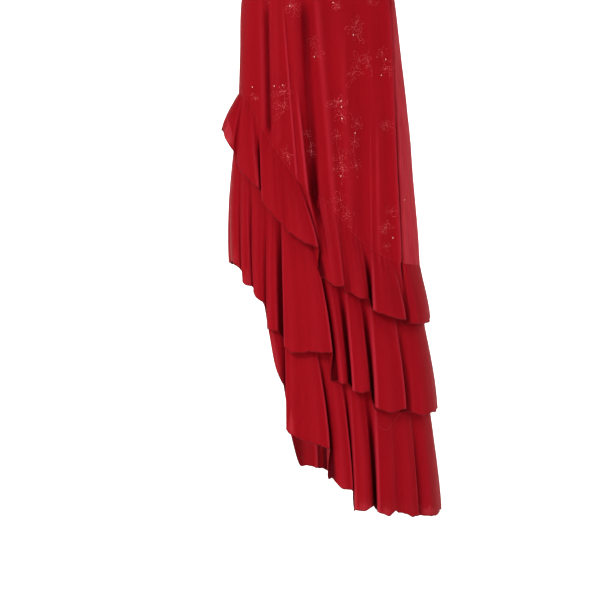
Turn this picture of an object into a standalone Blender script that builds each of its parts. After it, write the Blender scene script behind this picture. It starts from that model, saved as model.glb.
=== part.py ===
"""Maxi dress of red chiffon with a slanting hem and three flounces.

The dress keeps the hollow form that it has when it is worn. Lengths are in millimetres in the tables and
in metres in the meshes. X runs to the viewer's right, Y away from the viewer and Z up, and the front of
the dress faces -Y. A drop is the distance below the shoulders, where the straps rest at Z = 0.
"""

import math
import random

import bpy
import numpy as np
from mathutils import Vector
from mathutils.bvhtree import BVHTree

MM = 0.001

# Cloth
WALL = 1.2
SEAM_GAP = 0.3
SHARP_EDGE = math.radians(50)

# Panels: the mesh's columns from the side seam to the strap and between the straps, and its rows, which
# crowd towards the upper edge
COLUMNS_AT_ARMHOLE = 10
COLUMNS_BETWEEN_STRAPS = 18
COLUMN_OVAL = 140.0
PANEL_ROWS = 17
ROW_CROWDING = 1.3
PANEL_BELOW_LAST_SEAM = 6.0

# Folds of the panels: the drops over which they start and end, the narrowest one, and the strip beside the
# side seam that they leave flat, as the sine of its angle
FADE_IN = 110.0
FADE_OUT = 45.0
NARROWEST_FOLD = 9.0
FLAT_AT_SIDE = 0.3

# Straps
STRAP_INNER = 79.0
STRAP_OUTER = 91.0
STRAP_OVERLAP = 12.0
STRAP_WALL = 1.4
STRAP_SECTIONS = 14

# Flounces: steps of the mesh over a fold, from its left edge over its crown to the valley beyond it, the
# rows from the seam to the hem, and how soon the cloth swings out below the seam
FOLD_STEPS = (1, 2, 2, 1, 2, 2)
SIDE_STEPS = 2
FLOUNCE_ROWS = (0.0, 0.14, 0.48, 1.0)
FALL = 1.5

# A fold's shoulders: how far across it they are, and how much of the way out to its crown they have gone
SHOULDER = 0.16
SHOULDER_RISE = 0.45
VALLEY_LIFT = 5.0
VALLEY_WIDTH = 12.0

# The mean oval along which the hems are laid out
OVAL_DROP = 1200.0
OVAL_STEPS = 720

# Moving a flounce off its panel: tries, places tested on each edge, and what is near enough
ROWS_NEAR_PANEL = 2
LIFT_TRIES = 12
LIFT_PLACES = 5
LIFT_NEAR = 0.005
LIFT_MARGIN = 1.05

# The form that the dress hangs on, as half ovals in front of and behind the side seams
FORM_COLUMNS = ("drop", "centre", "half_width", "front", "back")
FORM = (
    (100, 0, 132, 84, 92),
    (160, 0, 146, 106, 102),
    (205, 0, 155, 120, 104),
    (255, 0, 158, 126, 102),
    (310, 0, 150, 112, 95),
    (400, 0, 131, 95, 87),
    (490, 1, 157, 106, 104),
    (600, 6, 165, 114, 120),
    (700, 10, 173, 117, 121),
    (800, 11, 182, 120, 124),
    (990, 22, 187, 126, 130),
    (1130, 31, 185, 128, 132),
    (1290, 39, 190, 131, 135),
    (1530, 44, 195, 134, 138),
)

# Bust fullness that the darts shape, one on each side of the front
BUST = {"x": 70.0, "drop": 248.0, "half_width": 44.0, "half_height": 46.0, "rise": 15.0}

# Upper edges of the panels, from the centre out to the side seam
EDGE_COLUMNS = ("x", "front_drop", "back_drop")
UPPER_EDGE = (
    (0, 176, 206),
    (30, 170, 204),
    (56, 150, 192),
    (79, 120, 161),
    (91, 119, 160),
    (108, 146, 176),
    (130, 182, 195),
    (155, 205, 205),
)

# The slanting lines on the panels where the flounces are sewn
SEAM_COLUMNS = ("x", "top", "middle", "lower")
SEAMS = (
    (-175, 668, 738, 944),
    (-150, 684, 775, 984),
    (-112, 750, 828, 1036),
    (-75, 806, 876, 1094),
    (-26, 868, 930, 1150),
    (20, 899, 980, 1178),
    (54, 942, 1016, 1206),
    (100, 984, 1048, 1236),
    (150, 1014, 1074, 1264),
    (205, 1026, 1088, 1280),
    (240, 1030, 1090, 1284),
)

# Folds of the panels: where each starts and ends, how wide it is, and how far it rises or sinks
FOLD_COLUMNS = ("name", "x_high", "x_low", "drop_high", "drop_low", "width", "rise")
PANEL_FOLDS = {
    "front": (
        ("left_roll", -134, -142, 440, 660, 16, 4),
        ("left_trough", -107, -101, 430, 735, 8, -7),
        ("first_ridge", -77, -46, 440, 815, 8, 6),
        ("second_ridge", -50, -27, 660, 865, 7, 5),
        ("middle_trough", -28, -10, 430, 870, 14, -9),
        ("middle_ridge", -3, 36, 430, 905, 12, 6),
        ("right_trough", 84, 96, 440, 970, 24, -5),
        ("edge_ridge", 129, 157, 420, 1005, 10, 7),
        ("deep_line", 141, 168, 420, 1015, 6, -9),
    ),
    "back": (
        ("left_trough", -112, -116, 450, 720, 13, -6),
        ("left_ridge", -84, -88, 440, 790, 14, 7),
        ("centre_trough", -34, -30, 430, 880, 16, -8),
        ("centre_ridge", 2, 12, 430, 915, 15, 6),
        ("right_trough", 52, 60, 450, 960, 12, -6),
        ("right_ridge", 86, 104, 440, 990, 15, 7),
        ("side_trough", 126, 146, 460, 1000, 11, -6),
    ),
}

# Folds of the flounces. top is where a fold starts on its seam. left, right and the drops are its edges
# and its hem. stand is how far it stands out, left_out and right_out are the shares of that at its edges,
# and valley is how far the cloth beyond its right edge stands out
FLOUNCE_FOLD_COLUMNS = (
    "name", "top", "left", "right", "drop_left", "drop_mid", "drop_right",
    "stand", "left_out", "right_out", "valley",
)
FLOUNCE_FOLDS = {
    "top": (
        ("a_side", -166, -191, -171, 754, 768, 794, 26, 0.9, 0.6, 9),
        ("a_front", -148, -166, -115, 806, 838, 864, 18, 0.5, 0.5, 3),
        ("b_left", -112, -118, -65, 888, 916, 944, 23, 0.8, 0.85, 14),
        ("b_right", -66, -62, 2, 952, 972, 984, 27, 0.8, 0.8, 3),
        ("c_left", -22, 7, 54, 1042, 1058, 1062, 20, 0.3, 0.75, 9),
        ("c_right", 50, 59, 105, 1072, 1086, 1088, 18, 0.4, 0.6, 3),
        ("d", 112, 112, 177, 1106, 1126, 1130, 25, 0.7, 0.8, 4),
        ("e", 168, 183, 213, 1140, 1142, 1142, 16, 0.4, 0.9, 10),
    ),
    "middle": (
        ("f1", -168, -173, -159, 1018, 1022, 1028, 13, 0.9, 0.6, 4),
        ("f2", -150, -155, -135, 1056, 1060, 1064, 15, 0.5, 0.6, 3),
        ("f3", -128, -132, -108, 1074, 1088, 1096, 17, 0.5, 0.6, 6),
        ("f4", -98, -107, -76, 1146, 1152, 1152, 19, 0.5, 0.5, 2),
        ("f5_left", -70, -70, -26, 1178, 1196, 1192, 25, 0.7, 0.8, 15),
        ("f5_right", -34, -24, 30, 1190, 1192, 1194, 27, 0.7, 0.8, 3),
        ("f6", -2, 35, 63, 1252, 1256, 1256, 20, 0.3, 0.8, 2),
        ("f7", 52, 72, 106, 1268, 1276, 1272, 20, 0.7, 0.5, 4),
        ("f8", 106, 119, 178, 1302, 1318, 1312, 25, 0.7, 0.8, 5),
        ("f9", 172, 186, 229, 1320, 1328, 1326, 19, 0.4, 0.9, 12),
    ),
    "lower": (
        ("g_hidden_left", -166, -160, -142, 1004, 1022, 1040, 2, 0.8, 0.6, 1),
        ("g_hidden_right", -138, -138, -108, 1046, 1076, 1106, 3, 0.6, 0.6, 2),
        ("g0", -100, -100, -68, 1150, 1222, 1270, 14, 0.6, 0.5, 2),
        ("g1_left", -68, -66, -34, 1348, 1362, 1370, 23, 0.7, 0.85, 15),
        ("g1_right", -36, -32, 26, 1370, 1380, 1386, 26, 0.8, 0.8, 3),
        ("g2", 8, 27, 71, 1462, 1470, 1472, 22, 0.4, 0.8, 3),
        ("g3", 60, 77, 111, 1512, 1516, 1506, 22, 0.6, 0.6, 2),
        ("g4_left", 108, 118, 164, 1520, 1534, 1520, 25, 0.7, 0.7, 13),
        ("g4_right", 156, 168, 205, 1524, 1538, 1538, 22, 0.6, 0.8, 8),
        ("g5", 198, 212, 242, 1536, 1538, 1534, 19, 0.5, 0.9, 12),
    ),
}

# Each flounce's least distance from the form, and what its front and back share at the side seams
TIER_COLUMNS = ("name", "clearance", "left_out", "left_drop", "right_out", "right_drop", "folds", "seed")
TIERS = (
    ("top", 13.0, 28.0, 751, 12.0, 1142, 8, 11),
    ("middle", 8.0, 14.0, 1026, 13.0, 1330, 9, 5),
    ("lower", 4.0, 5.0, 1000, 13.0, 1538, 9, 23),
)

# The hem of the back flounces, whose folds are drawn unevenly
BACK_HEM_COLUMNS = ("x", "top", "middle", "lower")
BACK_HEM = (
    (-190, 751, 1024, 1000),
    (-165, 780, 1034, 1012),
    (-140, 812, 1068, 1040),
    (-110, 856, 1112, 1100),
    (-90, 888, 1140, 1190),
    (-74, 912, 1162, 1284),
    (-56, 939, 1186, 1430),
    (-30, 972, 1208, 1462),
    (30, 1040, 1252, 1480),
    (64, 1070, 1276, 1512),
    (100, 1096, 1298, 1536),
    (140, 1116, 1314, 1542),
    (240, 1142, 1330, 1540),
)
BACK_FOLD_STAND = (14.0, 24.0)
BACK_FOLD_UNEVEN = 0.32
BACK_EDGE_OUT = 0.6
BACK_LEAN = 0.15
BACK_VALLEY_OUT = (2.0, 7.0)
DEEPEST_VALLEY = 0.5
BACK_SIDE_MARGIN = 12.0
FULL_FOLD_HEIGHT = 210.0

# The way of a strap from the front edge over the shoulder to the back edge
STRAP_COLUMNS = ("x", "y", "drop")
STRAP_WAY = (
    (87, -80, 70),
    (91, -52, 23),
    (93, -24, 3),
    (94, 0, -0.7),
    (93, 28, 6),
    (91, 58, 40),
    (87, 84, 100),
)

COLOURS = {
    "chiffon": (0.352, 0.006, 0.012, 1.0),
    "strap": (0.300, 0.005, 0.010, 1.0),
}


def column(rows, names, name):
    """One named column of a table."""
    at = names.index(name)
    return np.array([row[at] for row in rows], dtype=float)


def smooth(xs, ys, x):
    """A smooth curve through the points (xs, ys) that never overshoots them, flat beyond its ends."""
    xs = np.asarray(xs, dtype=float)
    ys = np.asarray(ys, dtype=float)
    x = np.clip(np.asarray(x, dtype=float), xs[0], xs[-1])
    step = np.diff(xs)
    slope = np.diff(ys) / step
    rise = np.zeros(len(xs))
    before, after = slope[:-1], slope[1:]
    same = before * after > 0
    rise[1:-1][same] = 2 * before[same] * after[same] / (before[same] + after[same])
    rise[0], rise[-1] = slope[0], slope[-1]
    i = np.clip(np.searchsorted(xs, x, side="right") - 1, 0, len(step) - 1)
    t = (x - xs[i]) / step[i]
    h = step[i]
    return (
        (2 * t**3 - 3 * t**2 + 1) * ys[i]
        + (t**3 - 2 * t**2 + t) * h * rise[i]
        + (3 * t**2 - 2 * t**3) * ys[i + 1]
        + (t**3 - t**2) * h * rise[i + 1]
    )


def ease(t):
    """0 to 1 with a soft start and end."""
    t = np.clip(t, 0.0, 1.0)
    return t * t * (3 - 2 * t)


def form_at(drop, side):
    """Centre, half width and depth of the form at a drop, on the front or the back."""
    drops = column(FORM, FORM_COLUMNS, "drop")
    names = ("centre", "half_width", side)
    return tuple(smooth(drops, column(FORM, FORM_COLUMNS, name), drop) for name in names)


def way_out(angle, half_width, depth):
    """The form's outward direction in plan, as X and the share towards the viewer or away."""
    x = np.cos(angle) / half_width
    y = np.sin(angle) / depth
    length = np.hypot(x, y)
    return x / length, y / length


def form_point(angle, drop, out, side):
    """A point that stands out from the form. Angle 0 is the right side seam and pi the left one."""
    centre, half_width, depth = form_at(drop, side)
    out_x, out_y = way_out(angle, half_width, depth)
    towards = -1.0 if side == "front" else 1.0
    x = centre + half_width * np.cos(angle) + out * out_x
    y = towards * (depth * np.sin(angle) + out * out_y)
    return np.stack([x, y, -np.asarray(drop, dtype=float) + 0 * x], axis=-1)


def angle_at(x, drop, out, side):
    """The angle at which a point that stands out from the form lies at x."""
    centre, half_width, depth = form_at(drop, side)
    angle = np.arccos(np.clip((x - centre) / (half_width + out), -1, 1))
    for _ in range(8):
        out_x, _ = way_out(angle, half_width, depth)
        angle = np.arccos(np.clip((x - centre - out * out_x) / half_width, -1, 1))
    return angle


def seam_drop(tier, x):
    """Where a flounce's seam lies on the panels."""
    xs = column(SEAMS, SEAM_COLUMNS, "x")
    return smooth(xs, column(SEAMS, SEAM_COLUMNS, tier), x)


def panel_angles():
    """The angles of the panel's columns, from the left side seam to the right one."""
    outer = math.acos(STRAP_OUTER / COLUMN_OVAL)
    inner = math.acos(STRAP_INNER / COLUMN_OVAL)
    left = np.linspace(math.pi, math.pi - outer, COLUMNS_AT_ARMHOLE + 1)
    middle = np.linspace(math.pi - inner, inner, COLUMNS_BETWEEN_STRAPS + 1)
    right = np.linspace(outer, 0.0, COLUMNS_AT_ARMHOLE + 1)
    return np.concatenate([left, middle, right])


def strap_columns():
    """The panel's columns at each strap's two edges, by the side that the strap is on."""
    first = COLUMNS_AT_ARMHOLE
    last = first + COLUMNS_BETWEEN_STRAPS + 2
    return {"right": (first, first + 1), "left": (last - 1, last)}


def bust_rise(x, drop):
    """How far the front stands out over the bust."""
    across = (np.abs(x) - BUST["x"]) / BUST["half_width"]
    along = (drop - BUST["drop"]) / BUST["half_height"]
    return BUST["rise"] * np.exp(-(across**2) - along**2)


def fold_rise(x, drop, side):
    """How far the panel's own folds stand out or sink in."""
    total = np.zeros_like(x)
    for row in PANEL_FOLDS[side]:
        fold = dict(zip(FOLD_COLUMNS, row))
        along = (drop - fold["drop_high"]) / (fold["drop_low"] - fold["drop_high"])
        centre = fold["x_high"] + (fold["x_low"] - fold["x_high"]) * along
        shape = np.exp(-(((x - centre) / max(fold["width"], NARROWEST_FOLD)) ** 2))
        starts = ease((drop - fold["drop_high"]) / FADE_IN)
        ends = ease((fold["drop_low"] + FADE_OUT - drop) / FADE_OUT)
        total = total + fold["rise"] * shape * starts * ends
    return total


def upper_edge(angle, side):
    """The drop of the panel's upper edge at an angle."""
    xs = column(UPPER_EDGE, EDGE_COLUMNS, "x")
    drops = column(UPPER_EDGE, EDGE_COLUMNS, side + "_drop")
    drop = np.full_like(angle, drops.mean())
    for _ in range(20):
        centre, half_width, _ = form_at(drop, side)
        drop = smooth(xs, drops, np.abs(centre + half_width * np.cos(angle)))
    return drop


def panel_grid(side):
    """The panel's middle surface as rows of points, in millimetres."""
    angle = panel_angles()
    top = upper_edge(angle, side)
    centre, half_width, _ = form_at(OVAL_DROP, side)
    bottom = seam_drop("lower", centre + half_width * np.cos(angle)) + PANEL_BELOW_LAST_SEAM
    share = np.linspace(0, 1, PANEL_ROWS + 1) ** ROW_CROWDING
    rows = []
    for v in share:
        drop = top + (bottom - top) * v
        flat = form_point(angle, drop, 0.0, side)
        out = fold_rise(flat[:, 0], drop, side) * ease(np.sin(angle) / FLAT_AT_SIDE)
        if side == "front":
            out = out + bust_rise(flat[:, 0], drop)
        rows.append(form_point(angle, drop, out, side))
    grid = np.array(rows)
    close_at_sides(grid, side)
    return grid


def close_at_sides(grid, side):
    """Sets the two side edges half a seam gap from the plane that parts front and back."""
    towards = -1.0 if side == "front" else 1.0
    grid[:, 0, 1] = towards * SEAM_GAP / 2
    grid[:, -1, 1] = towards * SEAM_GAP / 2


def grid_normals(grid, side):
    """Outward directions at a grid's points."""
    across = np.gradient(grid, axis=1)
    down = np.gradient(grid, axis=0)
    normal = np.cross(across, down)
    if side == "front":
        normal = -normal
    normal[:, 0] = (-1, 0, 0)
    normal[:, -1] = (1, 0, 0)
    return normal / np.linalg.norm(normal, axis=2, keepdims=True)


def wall_mesh(name, grid, normal, wall):
    """A closed wall round a grid of points, with every pair of triangles split the same way inside and out."""
    rows, columns = grid.shape[:2]
    outer = grid + normal * wall / 2
    inner = grid - normal * wall / 2
    points = np.concatenate([outer.reshape(-1, 3), inner.reshape(-1, 3)]) * MM
    count = rows * columns

    def at(row, col, layer):
        return layer * count + row * columns + col

    faces = []
    for row in range(rows - 1):
        for col in range(columns - 1):
            for layer in (0, 1):
                a = at(row, col, layer)
                b = at(row, col + 1, layer)
                c = at(row + 1, col + 1, layer)
                d = at(row + 1, col, layer)
                pair = [(a, b, c), (a, c, d)]
                faces += pair if layer == 0 else [face[::-1] for face in pair]
    rim = [(0, col) for col in range(columns)]
    rim += [(row, columns - 1) for row in range(1, rows)]
    rim += [(rows - 1, col) for col in range(columns - 2, -1, -1)]
    rim += [(row, 0) for row in range(rows - 2, 0, -1)]
    for here, after in zip(rim, rim[1:] + rim[:1]):
        a, b = at(*here, 0), at(*after, 0)
        c, d = at(*after, 1), at(*here, 1)
        faces += [(b, a, d), (b, d, c)]
    mesh = bpy.data.meshes.new(name)
    mesh.from_pydata([tuple(p) for p in points], [], faces)
    if signed_volume(points, np.array(faces)) < 0:
        mesh.flip_normals()
    mesh.shade_smooth()
    mesh.set_sharp_from_angle(angle=SHARP_EDGE)
    return mesh


def signed_volume(points, faces):
    """The volume inside the faces, below zero where they face inwards."""
    a, b, c = points[faces[:, 0]], points[faces[:, 1]], points[faces[:, 2]]
    return float(np.einsum("ij,ij->i", a, np.cross(b, c)).sum() / 6)


def add_piece(name, mesh, colour):
    """One named object with a material of its own."""
    material = bpy.data.materials.new(name)
    material.use_nodes = True
    shader = material.node_tree.nodes["Principled BSDF"]
    shader.inputs["Base Color"].default_value = COLOURS[colour]
    shader.inputs["Roughness"].default_value = 0.7
    shader.inputs["Metallic"].default_value = 0.0
    mesh.materials.append(material)
    piece = bpy.data.objects.new(name, mesh)
    bpy.context.scene.collection.objects.link(piece)
    return piece


def seam_ring(panel, normal, tier):
    """For each of a panel's columns, the point where a flounce's seam crosses it, and the way out there."""
    ring, out = [], []
    for col in range(panel.shape[1]):
        points, outs = panel[:, col], normal[:, col]
        drops = -points[:, 2]
        wanted = seam_drop(tier, points[:, 0])
        row = int(np.argmax(drops > wanted))
        before = drops[row - 1] - wanted[row - 1]
        after = drops[row] - wanted[row]
        share = -before / (after - before)
        ring.append(points[row - 1] * (1 - share) + points[row] * share)
        out.append(outs[row - 1] * (1 - share) + outs[row] * share)
    out = np.array(out)
    out /= np.linalg.norm(out, axis=1, keepdims=True)
    return np.array(ring), out


def unrolled():
    """Angles from the left side seam to the right one, and how far along a mean oval each of them lies."""
    angle = np.linspace(math.pi, 0.0, OVAL_STEPS + 1)
    _, half_width, depth = form_at(OVAL_DROP, "front")
    step = np.hypot(half_width * np.sin(angle), depth * np.cos(angle)) * (math.pi / OVAL_STEPS)
    return angle, np.concatenate([[0], np.cumsum((step[1:] + step[:-1]) / 2)])


def along_at(x, drop, out, side):
    """How far along the oval a hem point lies."""
    angles, along = unrolled()
    return float(np.interp(-angle_at(x, drop, out, side), -angles, along))


def hem_drop(tier, x):
    """The hem of a back flounce."""
    xs = column(BACK_HEM, BACK_HEM_COLUMNS, "x")
    return float(smooth(xs, column(BACK_HEM, BACK_HEM_COLUMNS, tier["name"]), x))


def back_folds(tier):
    """The folds of a back flounce, in uneven widths and depths, shallow where the flounce is short."""
    draw = random.Random(tier["seed"])
    _, along = unrolled()
    widths = [1 + draw.uniform(-BACK_FOLD_UNEVEN, BACK_FOLD_UNEVEN) for _ in range(tier["folds"])]
    edges = np.concatenate([[0], np.cumsum(widths)]) / sum(widths)
    edges = BACK_SIDE_MARGIN + edges * (along[-1] - 2 * BACK_SIDE_MARGIN)
    folds = []
    for left, right in zip(edges[:-1] + VALLEY_WIDTH / 2, edges[1:] - VALLEY_WIDTH / 2):
        places = (left, (left + right) / 2, right)
        drops = [hem_drop(tier, plan_x(tier, place)) for place in places]
        height = drops[1] - float(seam_drop(tier["name"], plan_x(tier, places[1])))
        stand = draw.uniform(*BACK_FOLD_STAND) * float(ease(height / FULL_FOLD_HEIGHT))
        lean = draw.choice((-BACK_LEAN, 0.0, BACK_LEAN))
        fold = {"along": (left, right), "drops": drops, "stand": stand, "top": None}
        fold["edges"] = (BACK_EDGE_OUT - lean, BACK_EDGE_OUT + lean)
        fold["valley"] = min(draw.uniform(*BACK_VALLEY_OUT), DEEPEST_VALLEY * stand)
        folds.append(fold)
    return folds


def plan_x(tier, place):
    """X of a place along the back hem."""
    angles, along = unrolled()
    angle = np.interp(place, along, angles)
    x = 0.0
    for _ in range(8):
        x = float(form_point(angle, hem_drop(tier, x), tier["clearance"], "back")[0])
    return x


def front_folds(tier):
    """The folds of a front flounce, read from its table."""
    folds = []
    for row in FLOUNCE_FOLDS[tier["name"]]:
        fold = dict(zip(FLOUNCE_FOLD_COLUMNS, row))
        fold["edges"] = (fold["left_out"], fold["right_out"])
        fold["drops"] = (fold["drop_left"], fold["drop_mid"], fold["drop_right"])
        outs = [tier["clearance"] + fold["stand"] * share for share in fold["edges"]]
        fold["along"] = (
            along_at(fold["left"], fold["drop_left"], outs[0], "front"),
            along_at(fold["right"], fold["drop_right"], outs[1], "front"),
        )
        folds.append(fold)
    for fold, after in zip(folds, folds[1:]):
        short = max(0.0, VALLEY_WIDTH - (after["along"][0] - fold["along"][1]))
        fold["along"] = (fold["along"][0], fold["along"][1] - short / 2)
        after["along"] = (after["along"][0] + short / 2, after["along"][1])
    return folds


def hem_points(folds, tier):
    """The points that a hem runs through, as how far along, how far out and drop, and where folds start."""
    _, along = unrolled()
    points, starts = [], []
    for fold, after in zip(folds, folds[1:] + [None]):
        left, right = fold["along"]
        stand, (low, high) = fold["stand"], fold["edges"]
        first, mid, last = fold["drops"]
        starts.append(len(points) + 1)
        for share, out, drop in (
            (0.0, low, first),
            (SHOULDER, low + (1 - low) * SHOULDER_RISE, first + (mid - first) * 2 * SHOULDER),
            (0.5, 1.0, mid),
            (1 - SHOULDER, high + (1 - high) * SHOULDER_RISE, last + (mid - last) * 2 * SHOULDER),
            (1.0, high, last),
        ):
            points.append((left + (right - left) * share, tier["clearance"] + stand * out, drop))
        if after:
            place = (right + after["along"][0]) / 2
            drop = (last + after["drops"][0]) / 2 - VALLEY_LIFT
            points.append((place, tier["clearance"] + fold["valley"], drop))
    points.insert(0, (0.0, tier["left_out"], tier["left_drop"]))
    points.append((along[-1], tier["right_out"], tier["right_drop"]))
    return np.array(points, dtype=float), starts


def round_curve(points, spans):
    """A round curve through the points with each span cut into a number of steps, and where each span starts."""
    chord = np.linalg.norm(np.diff(points[:, :2], axis=0), axis=1)[:, None]
    way = np.diff(points, axis=0) / chord
    tangent = np.empty_like(points)
    tangent[1:-1] = (way[:-1] * chord[1:] + way[1:] * chord[:-1]) / (chord[1:] + chord[:-1])
    tangent[0], tangent[-1] = way[0], way[-1]
    curve, starts = [], []
    for i, steps in enumerate(spans):
        starts.append(len(curve))
        for k in range(steps):
            t = k / steps
            curve.append(
                (2 * t**3 - 3 * t**2 + 1) * points[i]
                + (t**3 - 2 * t**2 + t) * chord[i] * tangent[i]
                + (3 * t**2 - 2 * t**3) * points[i + 1]
                + (t**3 - t**2) * chord[i] * tangent[i + 1]
            )
    curve.append(points[-1])
    return np.array(curve), starts


def flounce_grid(tier, side, panel, panel_normal):
    """A flounce's middle surface, hung from its seam on the panel."""
    folds = front_folds(tier) if side == "front" else back_folds(tier)
    points, starts = hem_points(folds, tier)
    spans = [SIDE_STEPS] + list(FOLD_STEPS * len(folds))[:-2] + [SIDE_STEPS]
    hem, marks = round_curve(points, spans)
    length = np.concatenate([[0], np.cumsum(np.linalg.norm(np.diff(hem[:, :2], axis=0), axis=1))])
    angles, along = unrolled()
    at, seam_along = [0.0], [0.0]
    for start, fold in zip(starts[1:], folds[1:]):
        if fold["top"] is not None:
            at.append(length[marks[start]])
            seam_along.append(along_at(fold["top"], seam_drop(tier["name"], fold["top"]), 0.0, side))
    top_along = smooth(at + [length[-1]], seam_along + [along[-1]], length)
    top, top_out, top_angle = seam_row(tier, top_along, panel, panel_normal)
    hem_angle = np.interp(hem[:, 0], along, angles)
    top_drop = -top[:, 2]
    on_form = form_point(top_angle, top_drop, 0.0, side)
    grid = []
    for v in FLOUNCE_ROWS:
        fallen = 1 - (1 - v) ** FALL
        angle = top_angle + (hem_angle - top_angle) * fallen
        row = form_point(angle, top_drop + (hem[:, 2] - top_drop) * v, hem[:, 1] * fallen, side)
        grid.append(row + (top - on_form) * (1 - fallen))
    grid = np.array(grid)
    close_at_sides(grid, side)
    normal = grid_normals(grid, side)
    middle = slice(1, -1)
    soft = normal[:, :-2] + 2 * normal[:, middle] + normal[:, 2:]
    normal[:, middle] = soft / np.linalg.norm(soft, axis=2, keepdims=True)
    for row, v in enumerate(FLOUNCE_ROWS[:-1]):
        fallen = 1 - (1 - v) ** FALL
        blend = top_out[middle] * (1 - fallen) + normal[row, middle] * fallen
        normal[row, middle] = blend / np.linalg.norm(blend, axis=1, keepdims=True)
    return grid, normal


def seam_row(tier, top_along, panel, panel_normal):
    """A flounce's upper row, made from the panel's points moved out, with the way out and angle of each."""
    ring, ring_out = seam_ring(panel, panel_normal, tier["name"])
    angles, along = unrolled()
    ring_along = np.interp(-panel_angles(), -angles, along)
    at_column = snapped(np.interp(top_along, ring_along, np.arange(len(ring))), len(ring))
    angle = np.interp(at_column, np.arange(len(ring)), panel_angles())
    low = np.floor(at_column).astype(int).clip(0, len(ring) - 2)
    share = (at_column - low)[:, None]
    top = ring[low] * (1 - share) + ring[low + 1] * share
    out = ring_out[low] * (1 - share) + ring_out[low + 1] * share
    out /= np.linalg.norm(out, axis=1, keepdims=True)
    return top + out * (WALL + SEAM_GAP), out, angle


def snapped(at_column, count):
    """Moves the nearest of the flounce's columns onto each of the panel's, so that their flats agree."""
    at_column = at_column.copy()
    at_column[0], at_column[-1] = 0, count - 1
    for target in range(1, count - 1):
        nearest = int(np.argmin(np.abs(at_column - target)))
        if 0 < nearest < len(at_column) - 1:
            at_column[nearest] = target
    return at_column


def lift_off(grid, normal, tree, rows):
    """Moves a flounce's upper rows out until its inner face keeps the seam gap to the panel."""
    steps = np.linspace(0, 1, LIFT_PLACES)
    for _ in range(LIFT_TRIES):
        push = np.zeros(grid.shape[:2])
        for row in range(rows):
            inner = grid[row] - normal[row] * WALL / 2
            for col in range(grid.shape[1] - 1):
                for t in steps:
                    point = inner[col] * (1 - t) + inner[col + 1] * t
                    short = SEAM_GAP - height_over(tree, point)
                    if short > 0:
                        push[row, col] = max(push[row, col], short)
                        push[row, col + 1] = max(push[row, col + 1], short)
        if push.max() < LIFT_NEAR:
            break
        grid += normal * (push[:, :, None] * LIFT_MARGIN)


def outer_face(grid, normal, side):
    """A panel's outer face, as a tree that finds the nearest place on it."""
    rows, columns = grid.shape[:2]
    points = (grid + normal * WALL / 2).reshape(-1, 3)
    faces = []
    for a in (row * columns + col for row in range(rows - 1) for col in range(columns - 1)):
        b, c, d = a + 1, a + columns + 1, a + columns
        pair = [(a, b, c), (a, c, d)]
        faces += [face[::-1] for face in pair] if side == "front" else pair
    return BVHTree.FromPolygons([Vector(point) for point in points], faces)


def height_over(tree, point):
    """How far a point stands over the panel's outer face."""
    place = Vector(point)
    found, facing, _, distance = tree.find_nearest(place)
    return math.copysign(distance, (place - found).dot(facing))


def strap_grid(which, panels):
    """A strap's middle surface, sewn behind the upper edges of the front and the back."""
    sections = []
    for side in ("front", "back"):
        grid, normal = panels[side]
        edges = strap_columns()[which]
        pair = []
        for below in (STRAP_OVERLAP, 0.0):
            points = []
            for col in edges:
                reach = np.linalg.norm(grid[1, col] - grid[0, col])
                share = below / reach
                inward = normal[0, col] * (1 - share) + normal[1, col] * share
                point = grid[0, col] * (1 - share) + grid[1, col] * share
                points.append(point - inward * ((WALL + STRAP_WALL) / 2 + SEAM_GAP))
            pair.append(points)
        sections.append(pair)
    sign = 1 if which == "left" else -1
    half = (STRAP_OUTER - STRAP_INNER) / 2
    way = []
    for x, y, drop in zip(*(column(STRAP_WAY, STRAP_COLUMNS, name) for name in STRAP_COLUMNS)):
        way.append([np.array([sign * x - half, y, -drop]), np.array([sign * x + half, y, -drop])])
    path = sections[0] + way + sections[1][::-1]
    left = np.array([pair[0] for pair in path])
    right = np.array([pair[1] for pair in path])
    ends = 2
    body = slice(ends - 1, len(path) - ends + 1)
    middle = np.stack([even_curve(left[body]), even_curve(right[body])], axis=1)
    grid = np.concatenate(
        [np.stack([left[:1], right[:1]], axis=1), middle, np.stack([left[-1:], right[-1:]], axis=1)]
    )
    return grid


def even_curve(points):
    """A smooth curve through the points, in even steps."""
    length = np.concatenate([[0], np.cumsum(np.linalg.norm(np.diff(points, axis=0), axis=1))])
    wanted = np.linspace(0, length[-1], STRAP_SECTIONS)
    return np.stack([smooth(length, points[:, k], wanted) for k in range(3)], axis=1)


def strap_normals(grid):
    """Directions away from the wearer, square to the strap."""
    along = np.gradient((grid[:, 0] + grid[:, 1]) / 2, axis=0)
    across = grid[:, 1] - grid[:, 0]
    normal = np.cross(across, along)
    normal /= np.linalg.norm(normal, axis=1, keepdims=True)
    if normal[len(normal) // 2][2] < 0:
        normal = -normal
    return np.stack([normal, normal], axis=1)


def build():
    """Makes every piece of the dress."""
    for old in list(bpy.data.objects):
        bpy.data.objects.remove(old, do_unlink=True)
    panels = {}
    for side in ("front", "back"):
        grid = panel_grid(side)
        normal = grid_normals(grid, side)
        panels[side] = (grid, normal)
        add_piece(side, wall_mesh(side, grid, normal, WALL), "chiffon")
    for side in ("front", "back"):
        grid, normal = panels[side]
        tree = outer_face(grid, normal, side)
        for row in TIERS:
            tier = dict(zip(TIER_COLUMNS, row))
            cloth, outward = flounce_grid(tier, side, grid, normal)
            lift_off(cloth, outward, tree, ROWS_NEAR_PANEL)
            close_at_sides(cloth, side)
            name = f"flounce_{tier['name']}_{side}"
            add_piece(name, wall_mesh(name, cloth, outward, WALL), "chiffon")
    for which in ("left", "right"):
        grid = strap_grid(which, panels)
        name = f"strap_{which}"
        add_piece(name, wall_mesh(name, grid, strap_normals(grid), STRAP_WALL), "strap")


build()
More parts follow.
